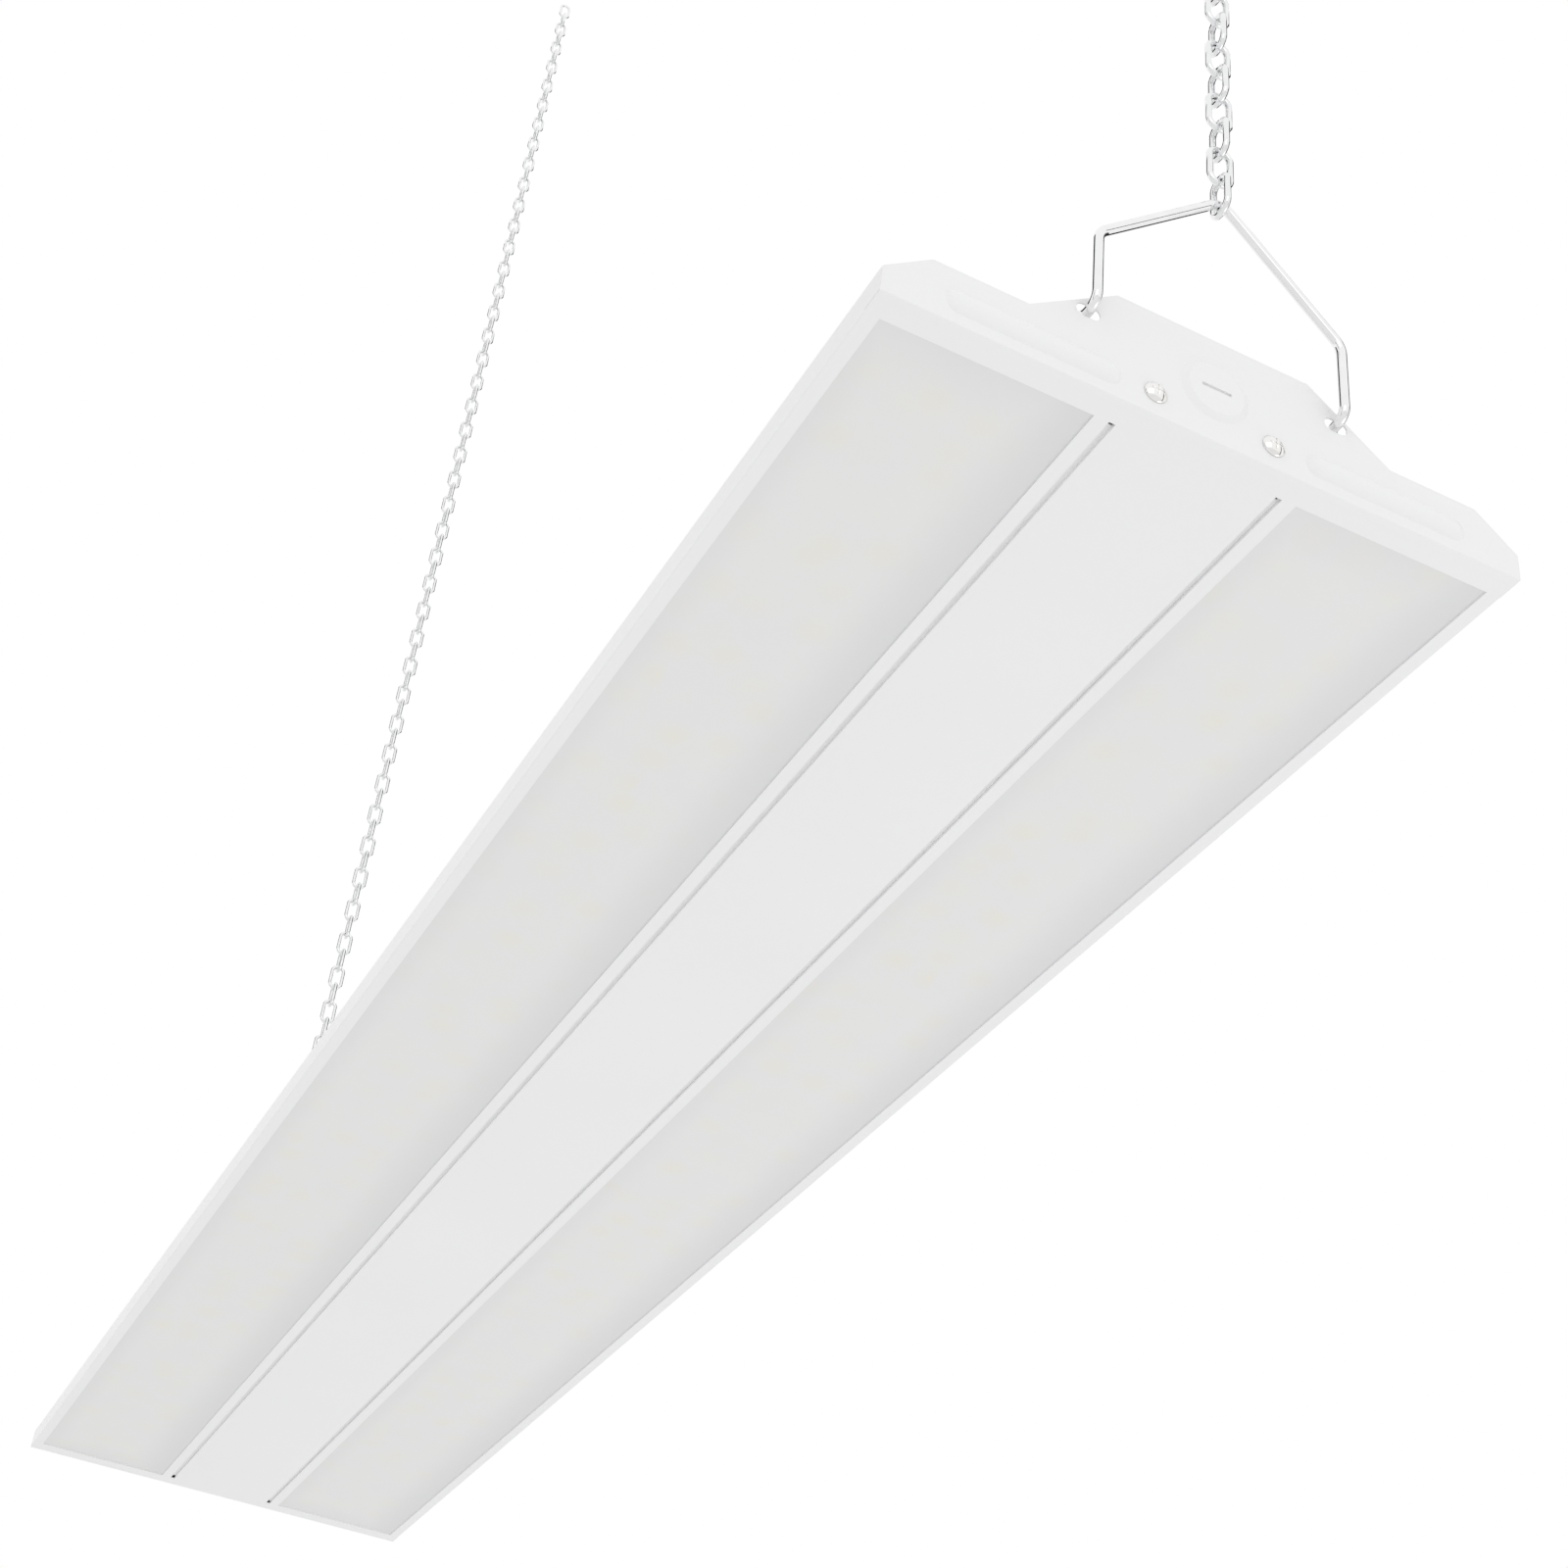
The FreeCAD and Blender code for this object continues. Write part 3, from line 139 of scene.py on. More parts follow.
def powderCoatedSteel():  # electrostatic polyester powder on folded steel: satin, faint orange peel
    finish = powderCoat
    material, tree, surface, place = startMaterial(
        "powderCoatedSteel", finish["white"], finish["roughness"])
    patches = addNode(tree, "ShaderNodeTexNoise", {"Vector": place, "Scale": 1 / finish["patchSize"]})
    peel = addNode(tree, "ShaderNodeTexNoise", {
        "Vector": place, "Scale": 1 / finish["peelSize"], "Detail": 1.0,
    })
    grain = addNode(tree, "ShaderNodeTexNoise", {"Vector": place, "Scale": 1 / finish["grainSize"]})
    tint = addNode(tree, "ShaderNodeMix", {
        "Factor": patches.outputs["Fac"], 6: paint(finish["white"]), 7: paint(finish["cooler"]),
    }, data_type="RGBA")
    tree.links.new(tint.outputs[2], surface.inputs["Base Color"])
    sheen = addNode(tree, "ShaderNodeMapRange", {
        "Value": grain.outputs["Fac"],
        "To Min": finish["roughness"] - finish["sheenRange"],
        "To Max": finish["roughness"] + finish["sheenRange"],
    })
    tree.links.new(sheen.outputs["Result"], surface.inputs["Roughness"])
    bump = addNode(tree, "ShaderNodeBump", {
        "Height": peel.outputs["Fac"], "Distance": finish["peelHeight"],
    })
    tree.links.new(bump.outputs["Normal"], surface.inputs["Normal"])
    return material


frostedLens = {
    "face": "ebebe9",
    "edge": "e0e0e1",       # painted shade, standing in for the bay's walls shading the sheet's edges from behind
    "warm": "ebe9df",       # the diodes' yellow gel, faint through the frosting
    "cool": "e9e9ea",
    "coveredEdge": 0.003,   # of each long edge, hidden above the rim or the rail
    "coveredEnd": 0.010,    # hidden above an end plate's flange
    "edgeReach": 0.030,     # of the painted shade, in from the +X edge
    "weakSide": 0.4,        # share of that painted shade at the other edges
    "spotSpacing": 0.022,
    "spotReach": 0.55,      # share of the spacing where a spot fades out
    "spotSkip": 0.15,       # share of the spots that don't show
    "spotStrength": 0.8,    # of the strongest spot
    "frostSize": 0.0008,
    "frostHeight": 0.000008,
    "roughness": 0.5,
}


def lensShade(tree, place):  # mask of the painted shade: 0 over the middle of a lens, 1 along its +X edge
    low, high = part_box("right_lens")
    middle = (low.x + high.x) / 2
    half = (high.x - low.x) / 2 - frostedLens["coveredEdge"]
    halfLength = (high.y - low.y) / 2 - frostedLens["coveredEnd"]
    reach, weak = frostedLens["edgeReach"], frostedLens["weakSide"]
    axes = addNode(tree, "ShaderNodeSeparateXYZ", {"Vector": place})
    side = addNode(tree, "ShaderNodeMath", {0: axes.outputs["X"]}, operation="SIGN")
    centre = addNode(tree, "ShaderNodeMath", {0: side.outputs[0], 1: middle}, operation="MULTIPLY")
    across = addNode(tree, "ShaderNodeMath", {
        0: axes.outputs["X"], 1: centre.outputs[0],
    }, operation="SUBTRACT")
    along = addNode(tree, "ShaderNodeMath", {0: axes.outputs["Y"]}, operation="ABSOLUTE")
    strongEdge = addNode(tree, "ShaderNodeMapRange", {
        "Value": across.outputs[0], "From Min": half - reach, "From Max": half,
    }, interpolation_type="SMOOTHSTEP")
    weakEdge = addNode(tree, "ShaderNodeMapRange", {
        "Value": across.outputs[0], "From Min": -half + reach / 2, "From Max": -half, "To Max": weak,
    }, interpolation_type="SMOOTHSTEP")
    ends = addNode(tree, "ShaderNodeMapRange", {
        "Value": along.outputs[0], "From Min": halfLength - reach, "From Max": halfLength, "To Max": weak,
    }, interpolation_type="SMOOTHSTEP")
    edges = addNode(tree, "ShaderNodeMath", {
        0: strongEdge.outputs[0], 1: weakEdge.outputs[0],
    }, operation="MAXIMUM")
    return addNode(tree, "ShaderNodeMath", {0: edges.outputs[0], 1: ends.outputs[0]}, operation="MAXIMUM")


def lensSpots(tree, place):  # how much of the warm tint a place takes from a diode behind it
    cells = addNode(tree, "ShaderNodeTexVoronoi", {
        "Vector": place, "Scale": 1 / frostedLens["spotSpacing"],
    }, voronoi_dimensions="2D")
    spot = addNode(tree, "ShaderNodeMapRange", {
        "Value": cells.outputs["Distance"], "From Min": frostedLens["spotReach"], "From Max": 0.0,
    }, interpolation_type="SMOOTHSTEP")
    chance = addNode(tree, "ShaderNodeSeparateXYZ", {"Vector": cells.outputs["Color"]})
    strength = addNode(tree, "ShaderNodeMapRange", {
        "Value": chance.outputs["X"],
        "From Min": frostedLens["spotSkip"],
        "To Max": frostedLens["spotStrength"],
    })
    return addNode(tree, "ShaderNodeMath", {
        0: spot.outputs[0], 1: strength.outputs[0],
    }, operation="MULTIPLY")


def frostedPolycarbonate():  # extruded translucent sheet: matt face, painted shade at its edges, faint tints
    finish = frostedLens
    material, tree, surface, place = startMaterial(
        "frostedPolycarbonate", finish["face"], finish["roughness"])
    clouds = addNode(tree, "ShaderNodeTexNoise", {
        "Vector": place, "Scale": 1 / finish["spotSpacing"], "Detail": 1.0,
    })
    ground = addNode(tree, "ShaderNodeMix", {
        "Factor": clouds.outputs["Fac"], 6: paint(finish["face"]), 7: paint(finish["cool"]),
    }, data_type="RGBA")
    spots = addNode(tree, "ShaderNodeMix", {
        "Factor": lensSpots(tree, place).outputs[0], 6: ground.outputs[2], 7: paint(finish["warm"]),
    }, data_type="RGBA")
    # painted shade: the base colour darkens towards the lens edges
    shaded = addNode(tree, "ShaderNodeMix", {
        "Factor": lensShade(tree, place).outputs[0], 6: spots.outputs[2], 7: paint(finish["edge"]),
    }, data_type="RGBA")
    tree.links.new(shaded.outputs[2], surface.inputs["Base Color"])
    frost = addNode(tree, "ShaderNodeTexNoise", {"Vector": place, "Scale": 1 / finish["frostSize"]})
    bump = addNode(tree, "ShaderNodeBump", {
        "Height": frost.outputs["Fac"], "Distance": finish["frostHeight"],
    })
    tree.links.new(bump.outputs["Normal"], surface.inputs["Normal"])
    return material


platedFinishes = {
    # bright chrome over nickel on bent wire: mirror clear
    "chromePlatedWire": {
        "colour": "f6f6f6", "darker": "ececed", "roughness": 0.05,
        "poolSize": 0.006, "poolHeight": 0.00001,
    },
    # barrel-plated zinc on welded links: bright, a little milky
    "brightZincChain": {
        "colour": "f5f5f5", "darker": "e8e9ea", "roughness": 0.07,
        "poolSize": 0.004, "poolHeight": 0.00002,
    },
    # nickel on steel screws: warm white, slightly soft
    "nickelPlatedScrew": {
        "colour": "f6f5f3", "darker": "ecebe8", "roughness": 0.14,
        "poolSize": 0.003, "poolHeight": 0.00001,
    },
}
plating = {"clearest": 0.6, "dullest": 1.5}  # shares of a finish's roughness, as the plating is uneven


def platedMetal(name, finish):  # plated steel: clear reflections, a little uneven where the plating pooled
    material, tree, surface, place = startMaterial(name, finish["colour"], finish["roughness"], metallic=1)
    pools = addNode(tree, "ShaderNodeTexNoise", {"Vector": place, "Scale": 1 / finish["poolSize"]})
    tint = addNode(tree, "ShaderNodeMix", {
        "Factor": pools.outputs["Fac"], 6: paint(finish["colour"]), 7: paint(finish["darker"]),
    }, data_type="RGBA")
    tree.links.new(tint.outputs[2], surface.inputs["Base Color"])
    blur = addNode(tree, "ShaderNodeMapRange", {
        "Value": pools.outputs["Fac"],
        "To Min": finish["roughness"] * plating["clearest"],
        "To Max": finish["roughness"] * plating["dullest"],
    })
    tree.links.new(blur.outputs["Result"], surface.inputs["Roughness"])
    bump = addNode(tree, "ShaderNodeBump", {
        "Height": pools.outputs["Fac"], "Distance": finish["poolHeight"],
    })
    tree.links.new(bump.outputs["Normal"], surface.inputs["Normal"])
    return material


def plainFinish(name, finish):  # moulded, coated or drawn: one colour with its own grain
    material, tree, surface, place = startMaterial(
        name, finish["colour"], finish["roughness"], metallic=finish.get("metallic", 0))
    stretch = addNode(tree, "ShaderNodeMapping", {
        "Vector": place, "Scale": finish.get("stretch", (1, 1, 1)),
    })
    grain = addNode(tree, "ShaderNodeTexNoise", {
        "Vector": stretch.outputs["Vector"], "Scale": 1 / finish["grainSize"], "Detail": 3.0,
    })
    tint = addNode(tree, "ShaderNodeMix", {
        "Factor": grain.outputs["Fac"], 6: paint(finish["colour"]), 7: paint(finish["darker"]),
    }, data_type="RGBA")
    tree.links.new(tint.outputs[2], surface.inputs["Base Color"])
    bump = addNode(tree, "ShaderNodeBump", {
        "Height": grain.outputs["Fac"], "Distance": finish["grainHeight"],
    })
    tree.links.new(bump.outputs["Normal"], surface.inputs["Normal"])
    return material


insulation = {"roughness": 0.35, "grainSize": 0.003, "grainHeight": 0.00001}  # extruded PVC, faintly waxy
insideFinishes = {
    # moulded nylon 66, black: matt, finely grained
    "blackNylon": {
        "colour": "1c1c1d", "darker": "141415", "roughness": 0.5,
        "grainSize": 0.0007, "grainHeight": 0.00003,
    },
    # moulded nylon, natural white: slightly yellow and waxy
    "whiteNylon": {
        "colour": "ece9df", "darker": "e2ded1", "roughness": 0.4,
        "grainSize": 0.002, "grainHeight": 0.00001,
    },
    # moulded EPDM: dull, dusty black
    "grommetRubber": {
        "colour": "232323", "darker": "1a1a1a", "roughness": 0.75,
        "grainSize": 0.001, "grainHeight": 0.00003,
    },
    # screen-printed solder mask: thin white gloss over aluminium
    "solderMask": {
        "colour": "eeeeea", "darker": "e6e6df", "roughness": 0.3,
        "grainSize": 0.001, "grainHeight": 0.000008,
    },
    # silicone gel filled with phosphor: yellow, wet looking
    "phosphorGel": {
        "colour": "f2d36b", "darker": "e8c24e", "roughness": 0.2,
        "grainSize": 0.0015, "grainHeight": 0.00001,
    },
    # drawn aluminium case: long fine lines along Y
    "drawnAluminium": {
        "colour": "cdcfd2", "darker": "b4b7bb", "roughness": 0.35, "metallic": 1,
        "grainSize": 0.002, "stretch": (1, 0.03, 1), "grainHeight": 0.00002,
    },
    "redInsulation": {"colour": "c0241f", "darker": "a81e1a", **insulation},
    "blackInsulation": {"colour": "222223", "darker": "171718", **insulation},
    "whiteInsulation": {"colour": "efeeea", "darker": "e3e1db", **insulation},
    "greenInsulation": {"colour": "2c7a3c", "darker": "246632", **insulation},
}

coat = powderCoatedSteel()
lensSheet = frostedPolycarbonate()
plated = {name: platedMetal(name, finish) for name, finish in platedFinishes.items()}
plain = {name: plainFinish(name, finish) for name, finish in insideFinishes.items()}
boards = [f"{end}_{side}_led_board" for end in ("near", "far") for side in ("left", "right")]

dress(coat, "housing", "near_end_plate", "far_end_plate", "centre_cover")
dress(coat, "left_led_tray", "right_led_tray")
dress(lensSheet, "left_lens", "right_lens")
dress(plain["solderMask"], *boards)
dress(plain["phosphorGel"], "left_leds", "right_leds")
dress(plain["whiteNylon"], "board_connectors", "terminal_block")
dress(plain["drawnAluminium"], "near_led_driver", "far_led_driver")
dress(plain["grommetRubber"], "web_grommets")
dress(plain["blackNylon"], "inlet_bushing")
dress(plain["redInsulation"], "positive_leads")
dress(plain["blackInsulation"], "negative_leads", "live_wires")
dress(plain["whiteInsulation"], "neutral_wires")
dress(plain["greenInsulation"], "ground_wire")
dress(plated["nickelPlatedScrew"], "board_screws")
print("materials made:", len(bpy.data.materials))


# Geometry Nodes: how a tree starts, ends and is turned into a plain mesh
def startTree(name, sockets):
    tree = bpy.data.node_groups.new(name, "GeometryNodeTree")
    tree.interface.new_socket("Geometry", in_out="INPUT", socket_type="NodeSocketGeometry")
    for label, kind in sockets:
        tree.interface.new_socket(label, in_out="INPUT", socket_type="NodeSocket" + kind)
    tree.interface.new_socket("Material", in_out="INPUT", socket_type="NodeSocketMaterial")
    tree.interface.new_socket("Geometry", in_out="OUTPUT", socket_type="NodeSocketGeometry")
    return tree, tree.nodes.new("NodeGroupInput").outputs


def endTree(tree, given, geometry):  # real faces and a finish, because instances don't leave Blender
    real = addNode(tree, "GeometryNodeRealizeInstances", {"Geometry": geometry})
    finished = addNode(tree, "GeometryNodeSetMaterial", {
        "Geometry": real.outputs["Geometry"], "Material": given["Material"],
    })
    addNode(tree, "NodeGroupOutput", {"Geometry": finished.outputs["Geometry"]})


def runTree(label, tree, start, values):  # start is the mesh that the tree works on
    piece = bpy.data.objects.new(label, start)
    scene.collection.objects.link(piece)
    modifier = piece.modifiers.new("make", "NODES")
    modifier.node_group = tree
    for item in tree.interface.items_tree:
        if item.in_out == "INPUT" and item.name in values:
            modifier[item.identifier] = values[item.name]
    graph = bpy.context.evaluated_depsgraph_get()
    mesh = bpy.data.meshes.new_from_object(piece.evaluated_get(graph))
    piece.modifiers.remove(modifier)
    piece.data = mesh
    return piece


def standFor(piece, body, node):
    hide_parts(node)
    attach(piece, body)


def pointMesh(name, points, edges=()):
    mesh = bpy.data.meshes.new(name)
    mesh.from_pydata([tuple(p) for p in points], list(edges), [])
    return mesh


# Chains: welded oval links, each a quarter turn from the last
chainLinks = {
    "wire": 0.0028,
    "width": 0.0120,     # outside
    "inner": 0.0166,     # one link bears this far below the last
    "gap": 0.0002,
    "twist": 4.0,        # degrees that a loose link turns from square
    "seed": {"near": 11, "far": 10},
    "loneLink": {"points": 28, "sides": 16},  # steps round the oval and round the wire
    "runLink": {"points": 14, "sides": 7},
}


def makeLinkTree():
    tree, given = startTree("linkRow", [
        ("Wire", "Float"), ("Width", "Float"), ("Inner", "Float"), ("Count", "Int"), ("Step", "Float"),
        ("Top", "Vector"), ("First Turned", "Int"), ("Twist", "Float"), ("Seed", "Int"),
        ("Path Points", "Int"), ("Wire Sides", "Int"),
    ])
    # half width and half height of the wire's centre line
    bend = addNode(tree, "ShaderNodeMath", {0: given["Width"], 1: given["Wire"]}, operation="SUBTRACT")
    bend = addNode(tree, "ShaderNodeMath", {0: bend.outputs[0], 1: 2}, operation="DIVIDE").outputs[0]
    tall = addNode(tree, "ShaderNodeMath", {0: given["Inner"], 1: given["Wire"]}, operation="ADD")
    tall = addNode(tree, "ShaderNodeMath", {0: tall.outputs[0], 1: 2}, operation="DIVIDE").outputs[0]
    straight = addNode(tree, "ShaderNodeMath", {0: tall, 1: bend}, operation="SUBTRACT").outputs[0]
    # a ring turned half a step, so that a flat at each side becomes the link's straight wire
    halfStep = addNode(tree, "ShaderNodeMath", {0: math.pi, 1: given["Path Points"]}, operation="DIVIDE")
    halfStep = halfStep.outputs[0]
    slim = addNode(tree, "ShaderNodeMath", {0: halfStep}, operation="COSINE").outputs[0]
    radius = addNode(tree, "ShaderNodeMath", {0: bend, 1: slim}, operation="DIVIDE").outputs[0]
    ring = addNode(tree, "GeometryNodeCurvePrimitiveCircle", {
        "Resolution": given["Path Points"], "Radius": radius,
    })
    spun = addNode(tree, "ShaderNodeCombineXYZ", {"Z": halfStep})
    ring = addNode(tree, "GeometryNodeTransform", {
        "Geometry": ring.outputs["Curve"], "Rotation": spun.outputs[0],
    })
    upright = addNode(tree, "ShaderNodeCombineXYZ", {"X": math.pi / 2})
    ring = addNode(tree, "GeometryNodeTransform", {
        "Geometry": ring.outputs["Geometry"], "Rotation": upright.outputs[0],
    })
    # its upper and lower halves are drawn apart into an oval
    where = addNode(tree, "GeometryNodeInputPosition")
    height = addNode(tree, "ShaderNodeSeparateXYZ", {"Vector": where.outputs["Position"]}).outputs["Z"]
    updown = addNode(tree, "ShaderNodeMath", {0: height}, operation="SIGN").outputs[0]
    shift = addNode(tree, "ShaderNodeMath", {0: updown, 1: straight}, operation="MULTIPLY").outputs[0]
    shift = addNode(tree, "ShaderNodeCombineXYZ", {"Z": shift})
    oval = addNode(tree, "GeometryNodeSetPosition", {
        "Geometry": ring.outputs["Geometry"], "Offset": shift.outputs[0],
    })
    wireRadius = addNode(tree, "ShaderNodeMath", {0: given["Wire"], 1: 2}, operation="DIVIDE").outputs[0]
    section = addNode(tree, "GeometryNodeCurvePrimitiveCircle", {
        "Resolution": given["Wire Sides"], "Radius": wireRadius,
    })
    link = addNode(tree, "GeometryNodeCurveToMesh", {
        "Curve": oval.outputs["Geometry"], "Profile Curve": section.outputs["Curve"],
    })
    link = addNode(tree, "GeometryNodeSetShadeSmooth", {"Geometry": link.outputs["Mesh"]})
    # the row of places, and each link's quarter turn and small twist
    down = addNode(tree, "ShaderNodeMath", {0: given["Step"], 1: -1}, operation="MULTIPLY").outputs[0]
    offset = addNode(tree, "ShaderNodeCombineXYZ", {"Z": down})
    row = addNode(tree, "GeometryNodeMeshLine", {
        "Count": given["Count"], "Start Location": given["Top"], "Offset": offset.outputs[0],
    })
    number = addNode(tree, "GeometryNodeInputIndex").outputs["Index"]
    number = addNode(tree, "ShaderNodeMath", {0: number, 1: given["First Turned"]}, operation="ADD")
    odd = addNode(tree, "ShaderNodeMath", {0: number.outputs[0], 1: 2}, operation="MODULO").outputs[0]
    quarter = addNode(tree, "ShaderNodeMath", {0: odd, 1: math.pi / 2}, operation="MULTIPLY").outputs[0]
    back = addNode(tree, "ShaderNodeMath", {0: given["Twist"], 1: -1}, operation="MULTIPLY").outputs[0]
    loose = addNode(tree, "FunctionNodeRandomValue", {2: back, 3: given["Twist"], "Seed": given["Seed"]})
    heading = addNode(tree, "ShaderNodeMath", {0: quarter, 1: loose.outputs[1]}, operation="ADD").outputs[0]
    heading = addNode(tree, "ShaderNodeCombineXYZ", {"Z": heading})
    heading = addNode(tree, "FunctionNodeEulerToRotation", {"Euler": heading.outputs[0]})
    links = addNode(tree, "GeometryNodeInstanceOnPoints", {
        "Points": row.outputs["Mesh"], "Instance": link.outputs["Geometry"], "Rotation": heading.outputs[0],
    })
    endTree(tree, given, links.outputs["Instances"])
    return tree


def makeChains():
    tree = makeLinkTree()
    step = chainLinks["inner"] - chainLinks["gap"]
    tall = chainLinks["inner"] + 2 * chainLinks["wire"]
    stretches = [  # node, its body at the near and the far end, whether its first link is turned
        ("top_link", "ceiling_links", "ceiling_links", 0),
        ("second_link", "swing_links", "swing_links", 1),
        ("chain_links", "near_chain", "far_chain", 0),
        ("lower_link", "near_lower_link", "far_lower_link", 0),
        ("bottom_link", "fixture", "fixture", 1),
    ]
    for end in ("near", "far"):
        for name, nearBody, farBody, turned in stretches:
            node = f"{end}_{name}"
            low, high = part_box(node)
            count = round((high.z - low.z - tall) / step) + 1
            alone = count == 1
            detail = chainLinks["loneLink" if alone else "runLink"]
            piece = runTree(f"{node}_wire", tree, bpy.data.meshes.new(node), {
                "Wire": chainLinks["wire"],
                "Width": chainLinks["width"],
                "Inner": chainLinks["inner"],
                "Count": count,
                "Step": step,
                "Top": (0, (low.y + high.y) / 2, high.z - tall / 2),
                "First Turned": turned,
                "Twist": 0 if alone else math.radians(chainLinks["twist"]),
                "Seed": chainLinks["seed"][end],
                "Path Points": detail["points"],
                "Wire Sides": detail["sides"],
                "Material": plated["brightZincChain"],
            })
            standFor(piece, nearBody if end == "near" else farBody, node)


makeChains()
print("chains made")


# Hooks: one bent wire each, from tail to tail over the peak
hookWire = {
    "wire": 0.0040,
    "half": 0.0525,          # legs and slots from the middle
    "tail": 0.0070,          # behind the plate, outwards
    "slotBend": 0.0045,
    "legTop": 0.0357,        # where a leg turns, above the slot
    "legBend": 0.0090,
    "peakBend": 0.0065,
    "bendSteps": 10,
    "sides": 20,
}


def makeWireTree():
    tree, given = startTree("bentWire", [("Wire", "Float"), ("Bend Steps", "Int"), ("Sides", "Int")])
    path = addNode(tree, "GeometryNodeMeshToCurve", {"Mesh": given["Geometry"]})
    bend = addNode(tree, "GeometryNodeInputNamedAttribute", {"Name": "bend"}, data_type="FLOAT")
    rounded = addNode(tree, "GeometryNodeFilletCurve", {
        "Curve": path.outputs["Curve"], "Count": given["Bend Steps"],
        "Radius": bend.outputs["Attribute"], "Limit Radius": True,
    }, mode="POLY")
    wireRadius = addNode(tree, "ShaderNodeMath", {0: given["Wire"], 1: 2}, operation="DIVIDE").outputs[0]
    section = addNode(tree, "GeometryNodeCurvePrimitiveCircle", {
        "Resolution": given["Sides"], "Radius": wireRadius,
    })
    tube = addNode(tree, "GeometryNodeCurveToMesh", {
        "Curve": rounded.outputs["Curve"], "Profile Curve": section.outputs["Curve"], "Fill Caps": True,
    })
    smooth = addNode(tree, "GeometryNodeSetShadeSmooth", {"Geometry": tube.outputs["Mesh"]})
    endTree(tree, given, smooth.outputs["Geometry"])
    return tree


def peakCorner(rise, half, bend):  # where the arms would meet if the peak weren't rounded
    corner = rise
    for attempt in range(20):  # settles long before that
        angle = math.atan2(corner, half)
        corner = rise + bend * (1 / math.cos(angle) - 1)
    return corner


def makeHooks():
    tree = makeWireTree()
    wireRadius = hookWire["wire"] / 2
    for end, sign in (("near", -1), ("far", 1)):
        low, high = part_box(f"{end}_hook")
        half = hookWire["half"]
        slotZ = low.z + wireRadius
        outside, inside = low.y + wireRadius, high.y - wireRadius
        if sign > 0:
            outside, inside = inside, outside
        legZ = slotZ + hookWire["legTop"]
        peakZ = legZ + peakCorner(high.z - wireRadius - legZ, half, hookWire["peakBend"])
        leftHalf = [  # x, y, z, bend
            (-half - hookWire["tail"], inside, slotZ, 0),
            (-half, inside, slotZ, hookWire["slotBend"]),
            (-half, outside, slotZ, hookWire["slotBend"]),
            (-half, outside, legZ, hookWire["legBend"]),
        ]
        rightHalf = [(-x, y, z, bend) for x, y, z, bend in reversed(leftHalf)]
        route = leftHalf + [(0, outside, peakZ, hookWire["peakBend"])] + rightHalf
        start = pointMesh(end, [p[:3] for p in route], [(i, i + 1) for i in range(len(route) - 1)])
        bends = start.attributes.new("bend", "FLOAT", "POINT")
        bends.data.foreach_set("value", [p[3] for p in route])
        piece = runTree(f"{end}_hook_wire", tree, start, {
            "Wire": hookWire["wire"],
            "Bend Steps": hookWire["bendSteps"],
            "Sides": hookWire["sides"],
            "Material": plated["chromePlatedWire"],
        })
        standFor(piece, "fixture", f"{end}_hook")


makeHooks()
print("hooks made")


# Screws and blind rivets: one head of each kind, set on its places by a tree
screwHead = {
    "radius": 0.0047, "dome": 0.0024, "rim": 0.0004,
    "drive": "cross", "driveReach": 0.5, "driveDepth": 0.0007,
}
panHead = {
    "radius": 0.0039, "dome": 0.0022, "rim": 0.0005,
    "drive": "cross", "driveReach": 0.6, "driveDepth": 0.0012,
}
rivetHead = {
    "radius": 0.0032, "dome": 0.0013, "rim": 0.0003,
    "drive": "pin", "driveReach": 0.34, "driveDepth": 0.0006,
}
headMesh = {"segments": 32, "rings": 9}
fasteners = {
    "wingHeight": 0.026,        # the wings' tops, above the underside
    "trayRivets": 5,            # along each wing
    "driverScrewInset": 0.006,  # from either end of a driver
    "driverScrewTurn": 0.4,     # radians that the drive ended up turned
    "groundScrewTurn": 0.9,
}


def makeHead(shape):  # a dome with a short upright rim, standing on Z = 0
    segments, rings = headMesh["segments"], headMesh["rings"]
    radius, dome, rim = shape["radius"], shape["dome"], shape["rim"]
    ball = (radius ** 2 + (dome - rim) ** 2) / (2 * (dome - rim))
    angles = [2 * math.pi * segment / segments for segment in range(segments)]
    work = bmesh.new()
    rows = []
    for ring in range(rings):
        share = 1 - ring / rings
        r = radius * share
        row = []
        for segment, angle in enumerate(angles):
            z = rim + math.sqrt(ball ** 2 - r ** 2) - (ball - (dome - rim))
            sunk = share < shape["driveReach"]
            if shape["drive"] == "cross":
                sunk = sunk and segment % (segments // 4) == 0
            if sunk:
                z -= shape["driveDepth"]
            row.append(work.verts.new((r * math.cos(angle), r * math.sin(angle), z)))
        rows.append(row)
    foot = [work.verts.new((radius * math.cos(angle), radius * math.sin(angle), 0)) for angle in angles]
    rows.insert(0, foot)
    for lower, upper in zip(rows, rows[1:]):
        for s in range(segments):
            following = (s + 1) % segments
            work.faces.new((lower[s], lower[following], upper[following], upper[s]))
    tip = work.verts.new((0, 0, dome - shape["driveDepth"]))
    for s in range(segments):
        work.faces.new((rows[-1][s], rows[-1][(s + 1) % segments], tip))
    for face in work.faces:
        face.smooth = True
    work.faces.new(list(reversed(foot)))  # the flat underside
    mesh = bpy.data.meshes.new("head")
    work.to_mesh(mesh)
    work.free()
    head = bpy.data.objects.new("head", mesh)
    scene.collection.objects.link(head)
    return head


def makeHeadTree():
    tree, given = startTree("headsOnPlaces", [("Head", "Object"), ("Turn", "Vector")])
    head = addNode(tree, "GeometryNodeObjectInfo", {"Object": given["Head"], "As Instance": True})
    turn = addNode(tree, "FunctionNodeEulerToRotation", {"Euler": given["Turn"]})
    heads = addNode(tree, "GeometryNodeInstanceOnPoints", {
        "Points": given["Geometry"], "Instance": head.outputs["Geometry"], "Rotation": turn.outputs[0],
    })
    endTree(tree, given, heads.outputs["Instances"])
    return tree


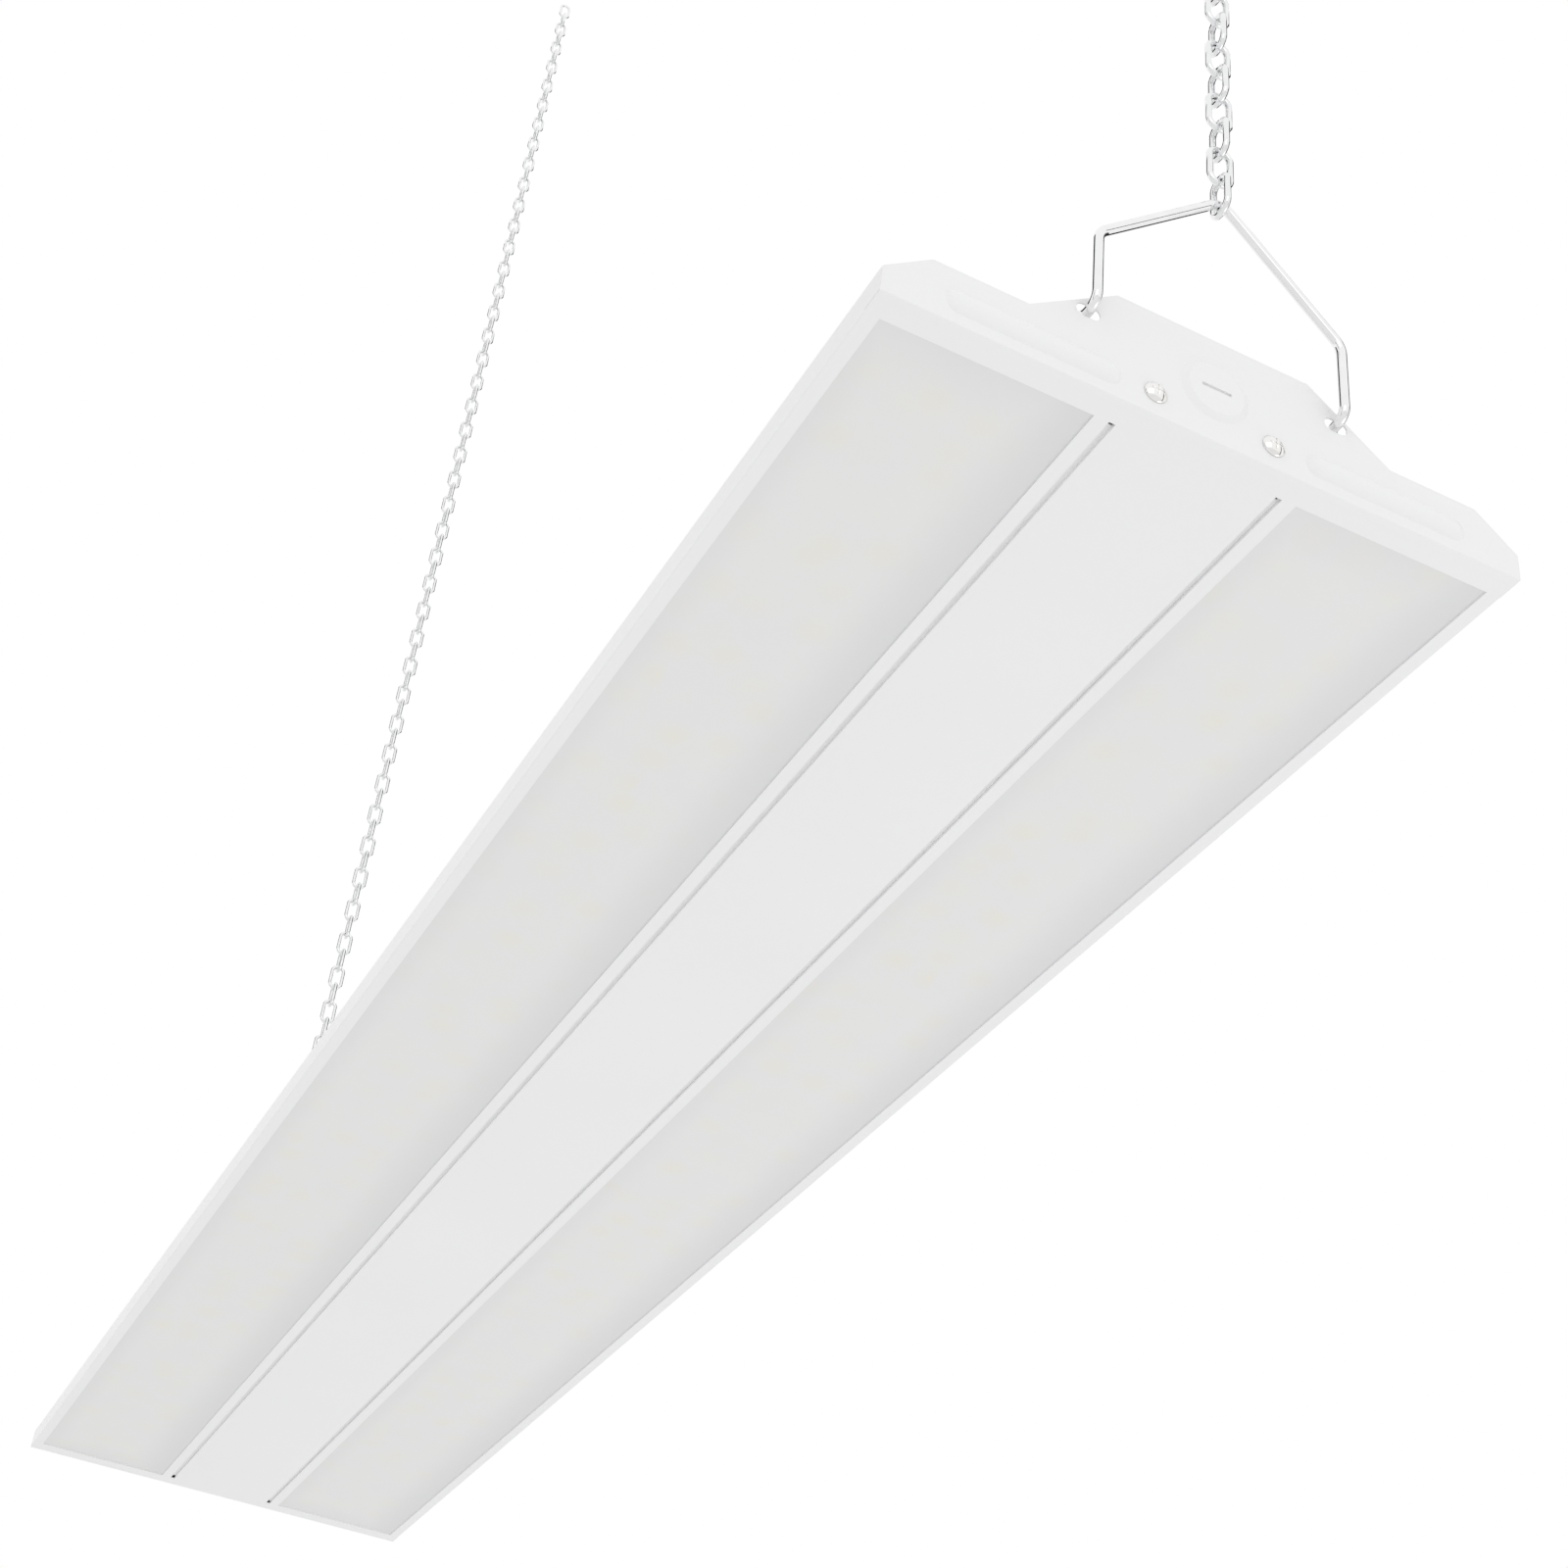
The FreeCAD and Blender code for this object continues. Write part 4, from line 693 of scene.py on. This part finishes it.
def spread(low, high, count):  # evenly from low to high
    return [low + (high - low) * i / (count - 1) for i in range(count)]


def makeFasteners():
    tree = makeHeadTree()
    nickel = plated["nickelPlatedScrew"]
    upwards = (0, 0, 0)
    jobs = []  # node, head, finish, slot, places, turn
    for end, face, sign in (("near", nearFace, -1), ("far", farFace, 1)):
        low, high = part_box(f"{end}_end_screws")
        x, z = high.x - screwHead["radius"], (low.z + high.z) / 2
        outwards = (-sign * math.pi / 2, 0, 0)
        places = [(-x, face, z), (x, face, z)]
        jobs.append((f"{end}_end_screws", screwHead, nickel, "bright_screw", places, outwards))
    low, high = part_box("end_plate_rivets")
    x, y = high.x - rivetHead["radius"], high.y - rivetHead["radius"]
    places = [(a, b, hatTop) for a in (-x, x) for b in (-y, y)]
    jobs.append(("end_plate_rivets", rivetHead, coat, "white_steel", places, upwards))
    low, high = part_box("tray_rivets")
    x, y = high.x - rivetHead["radius"], high.y - rivetHead["radius"]
    wing = underside + fasteners["wingHeight"]
    places = [(a, b, wing) for a in (-x, x) for b in spread(-y, y, fasteners["trayRivets"])]
    jobs.append(("tray_rivets", rivetHead, coat, "white_steel", places, upwards))
    places = []
    for driver in ("near_led_driver", "far_led_driver"):
        low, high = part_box(driver)
        inset = fasteners["driverScrewInset"]
        places += [(0, low.y + inset, hatTop), (0, high.y - inset, hatTop)]
    turned = (0, 0, fasteners["driverScrewTurn"])
    jobs.append(("driver_screws", panHead, nickel, "bright_screw", places, turned))
    low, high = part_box("ground_screw")
    places = [(0, (low.y + high.y) / 2, hatTop)]
    turned = (0, 0, fasteners["groundScrewTurn"])
    jobs.append(("ground_screw", panHead, nickel, "bright_screw", places, turned))
    for node, shape, material, slotName, places, turn in jobs:
        head = makeHead(shape)
        piece = runTree(f"{node}_heads", tree, pointMesh(node, places), {
            "Head": head, "Turn": turn, "Material": material,
        })
        bpy.data.objects.remove(head)
        standFor(piece, "fixture", node)


makeFasteners()
print("screws and rivets made")


# Studio: pale floor, white surround, two soft lamps, and dark cards that only reflections show
studio = {
    "floorDrop": 1.5,    # below the fixture's underside
    "floorSize": 24,
    "floorColour": "eeeeee",
    "cardColour": "1e1e20",
    "roughness": 0.9,    # of the floor and the cards
    "roomLight": 0.975,  # what the surround lights with, while the camera and reflections see it at 1
    "lamps": [  # place from the underside's middle, size, watts
        ((-1.6, -4.2, 1.1), 2.4, 6),
        ((1.2, -0.4, -1.4), 2.0, 7.5),
    ],
    "cards": [  # place from the underside's middle, width, height
        ((-2.9, 1.3, 2.3), 1.9, 3.4),
        ((3.6, 1.0, 2.7), 4.2, 4.0),
        ((-3.2, -1.6, 0.6), 0.35, 3.0),
        ((2.8, -2.4, 0.6), 0.35, 3.0),
    ],
}


def facing(place, target):
    return Matrix.Translation(place) @ (target - place).to_track_quat("-Z", "Y").to_matrix().to_4x4()


def flatSheet(name, width, height, colour):
    mesh = bpy.data.meshes.new(name)
    w, h = width / 2, height / 2
    mesh.from_pydata([(-w, -h, 0), (w, -h, 0), (w, h, 0), (-w, h, 0)], [], [(0, 1, 2, 3)])
    mesh.materials.append(startMaterial(name, colour, studio["roughness"])[0])
    sheet = bpy.data.objects.new(name, mesh)
    scene.collection.objects.link(sheet)
    return sheet


def makeStudio():
    target = Vector((0, 0, underside))
    floor = flatSheet("floor", studio["floorSize"], studio["floorSize"], studio["floorColour"])
    floor.location.z = underside - studio["floorDrop"]
    for number, (place, width, height) in enumerate(studio["cards"], 1):
        card = flatSheet(f"card{number}", width, height, studio["cardColour"])
        card.matrix_world = facing(target + Vector(place), target)
        card.visible_camera = False
        card.visible_diffuse = False
        card.visible_shadow = False
        card.visible_transmission = False
    for number, (place, width, watts) in enumerate(studio["lamps"], 1):
        lamp = bpy.data.objects.new(f"lamp{number}", bpy.data.lights.new(f"lamp{number}", "AREA"))
        lamp.data.size = width
        lamp.data.energy = watts
        lamp.matrix_world = facing(target + Vector(place), target)
        lamp.visible_camera = False
        scene.collection.objects.link(lamp)
    makeSurround()


def makeSurround():
    world = bpy.data.worlds.new("surround")
    world.use_nodes = True
    tree = world.node_tree
    tree.nodes.clear()
    ray = addNode(tree, "ShaderNodeLightPath")
    seen = addNode(tree, "ShaderNodeMath", {
        0: ray.outputs["Is Camera Ray"], 1: ray.outputs["Is Glossy Ray"],
    }, operation="MAXIMUM")
    seen = addNode(tree, "ShaderNodeMath", {
        0: seen.outputs[0], 1: ray.outputs["Is Transmission Ray"],
    }, operation="MAXIMUM")
    light = addNode(tree, "ShaderNodeBackground", {"Color": (1, 1, 1, 1), "Strength": studio["roomLight"]})
    white = addNode(tree, "ShaderNodeBackground", {"Color": (1, 1, 1, 1), "Strength": 1.0})
    both = addNode(tree, "ShaderNodeMixShader", {
        0: seen.outputs[0], 1: light.outputs[0], 2: white.outputs[0],
    })
    addNode(tree, "ShaderNodeOutputWorld", {"Surface": both.outputs[0]})
    scene.world = world
    scene.view_settings.view_transform = "Standard"


makeStudio()
print("studio made")
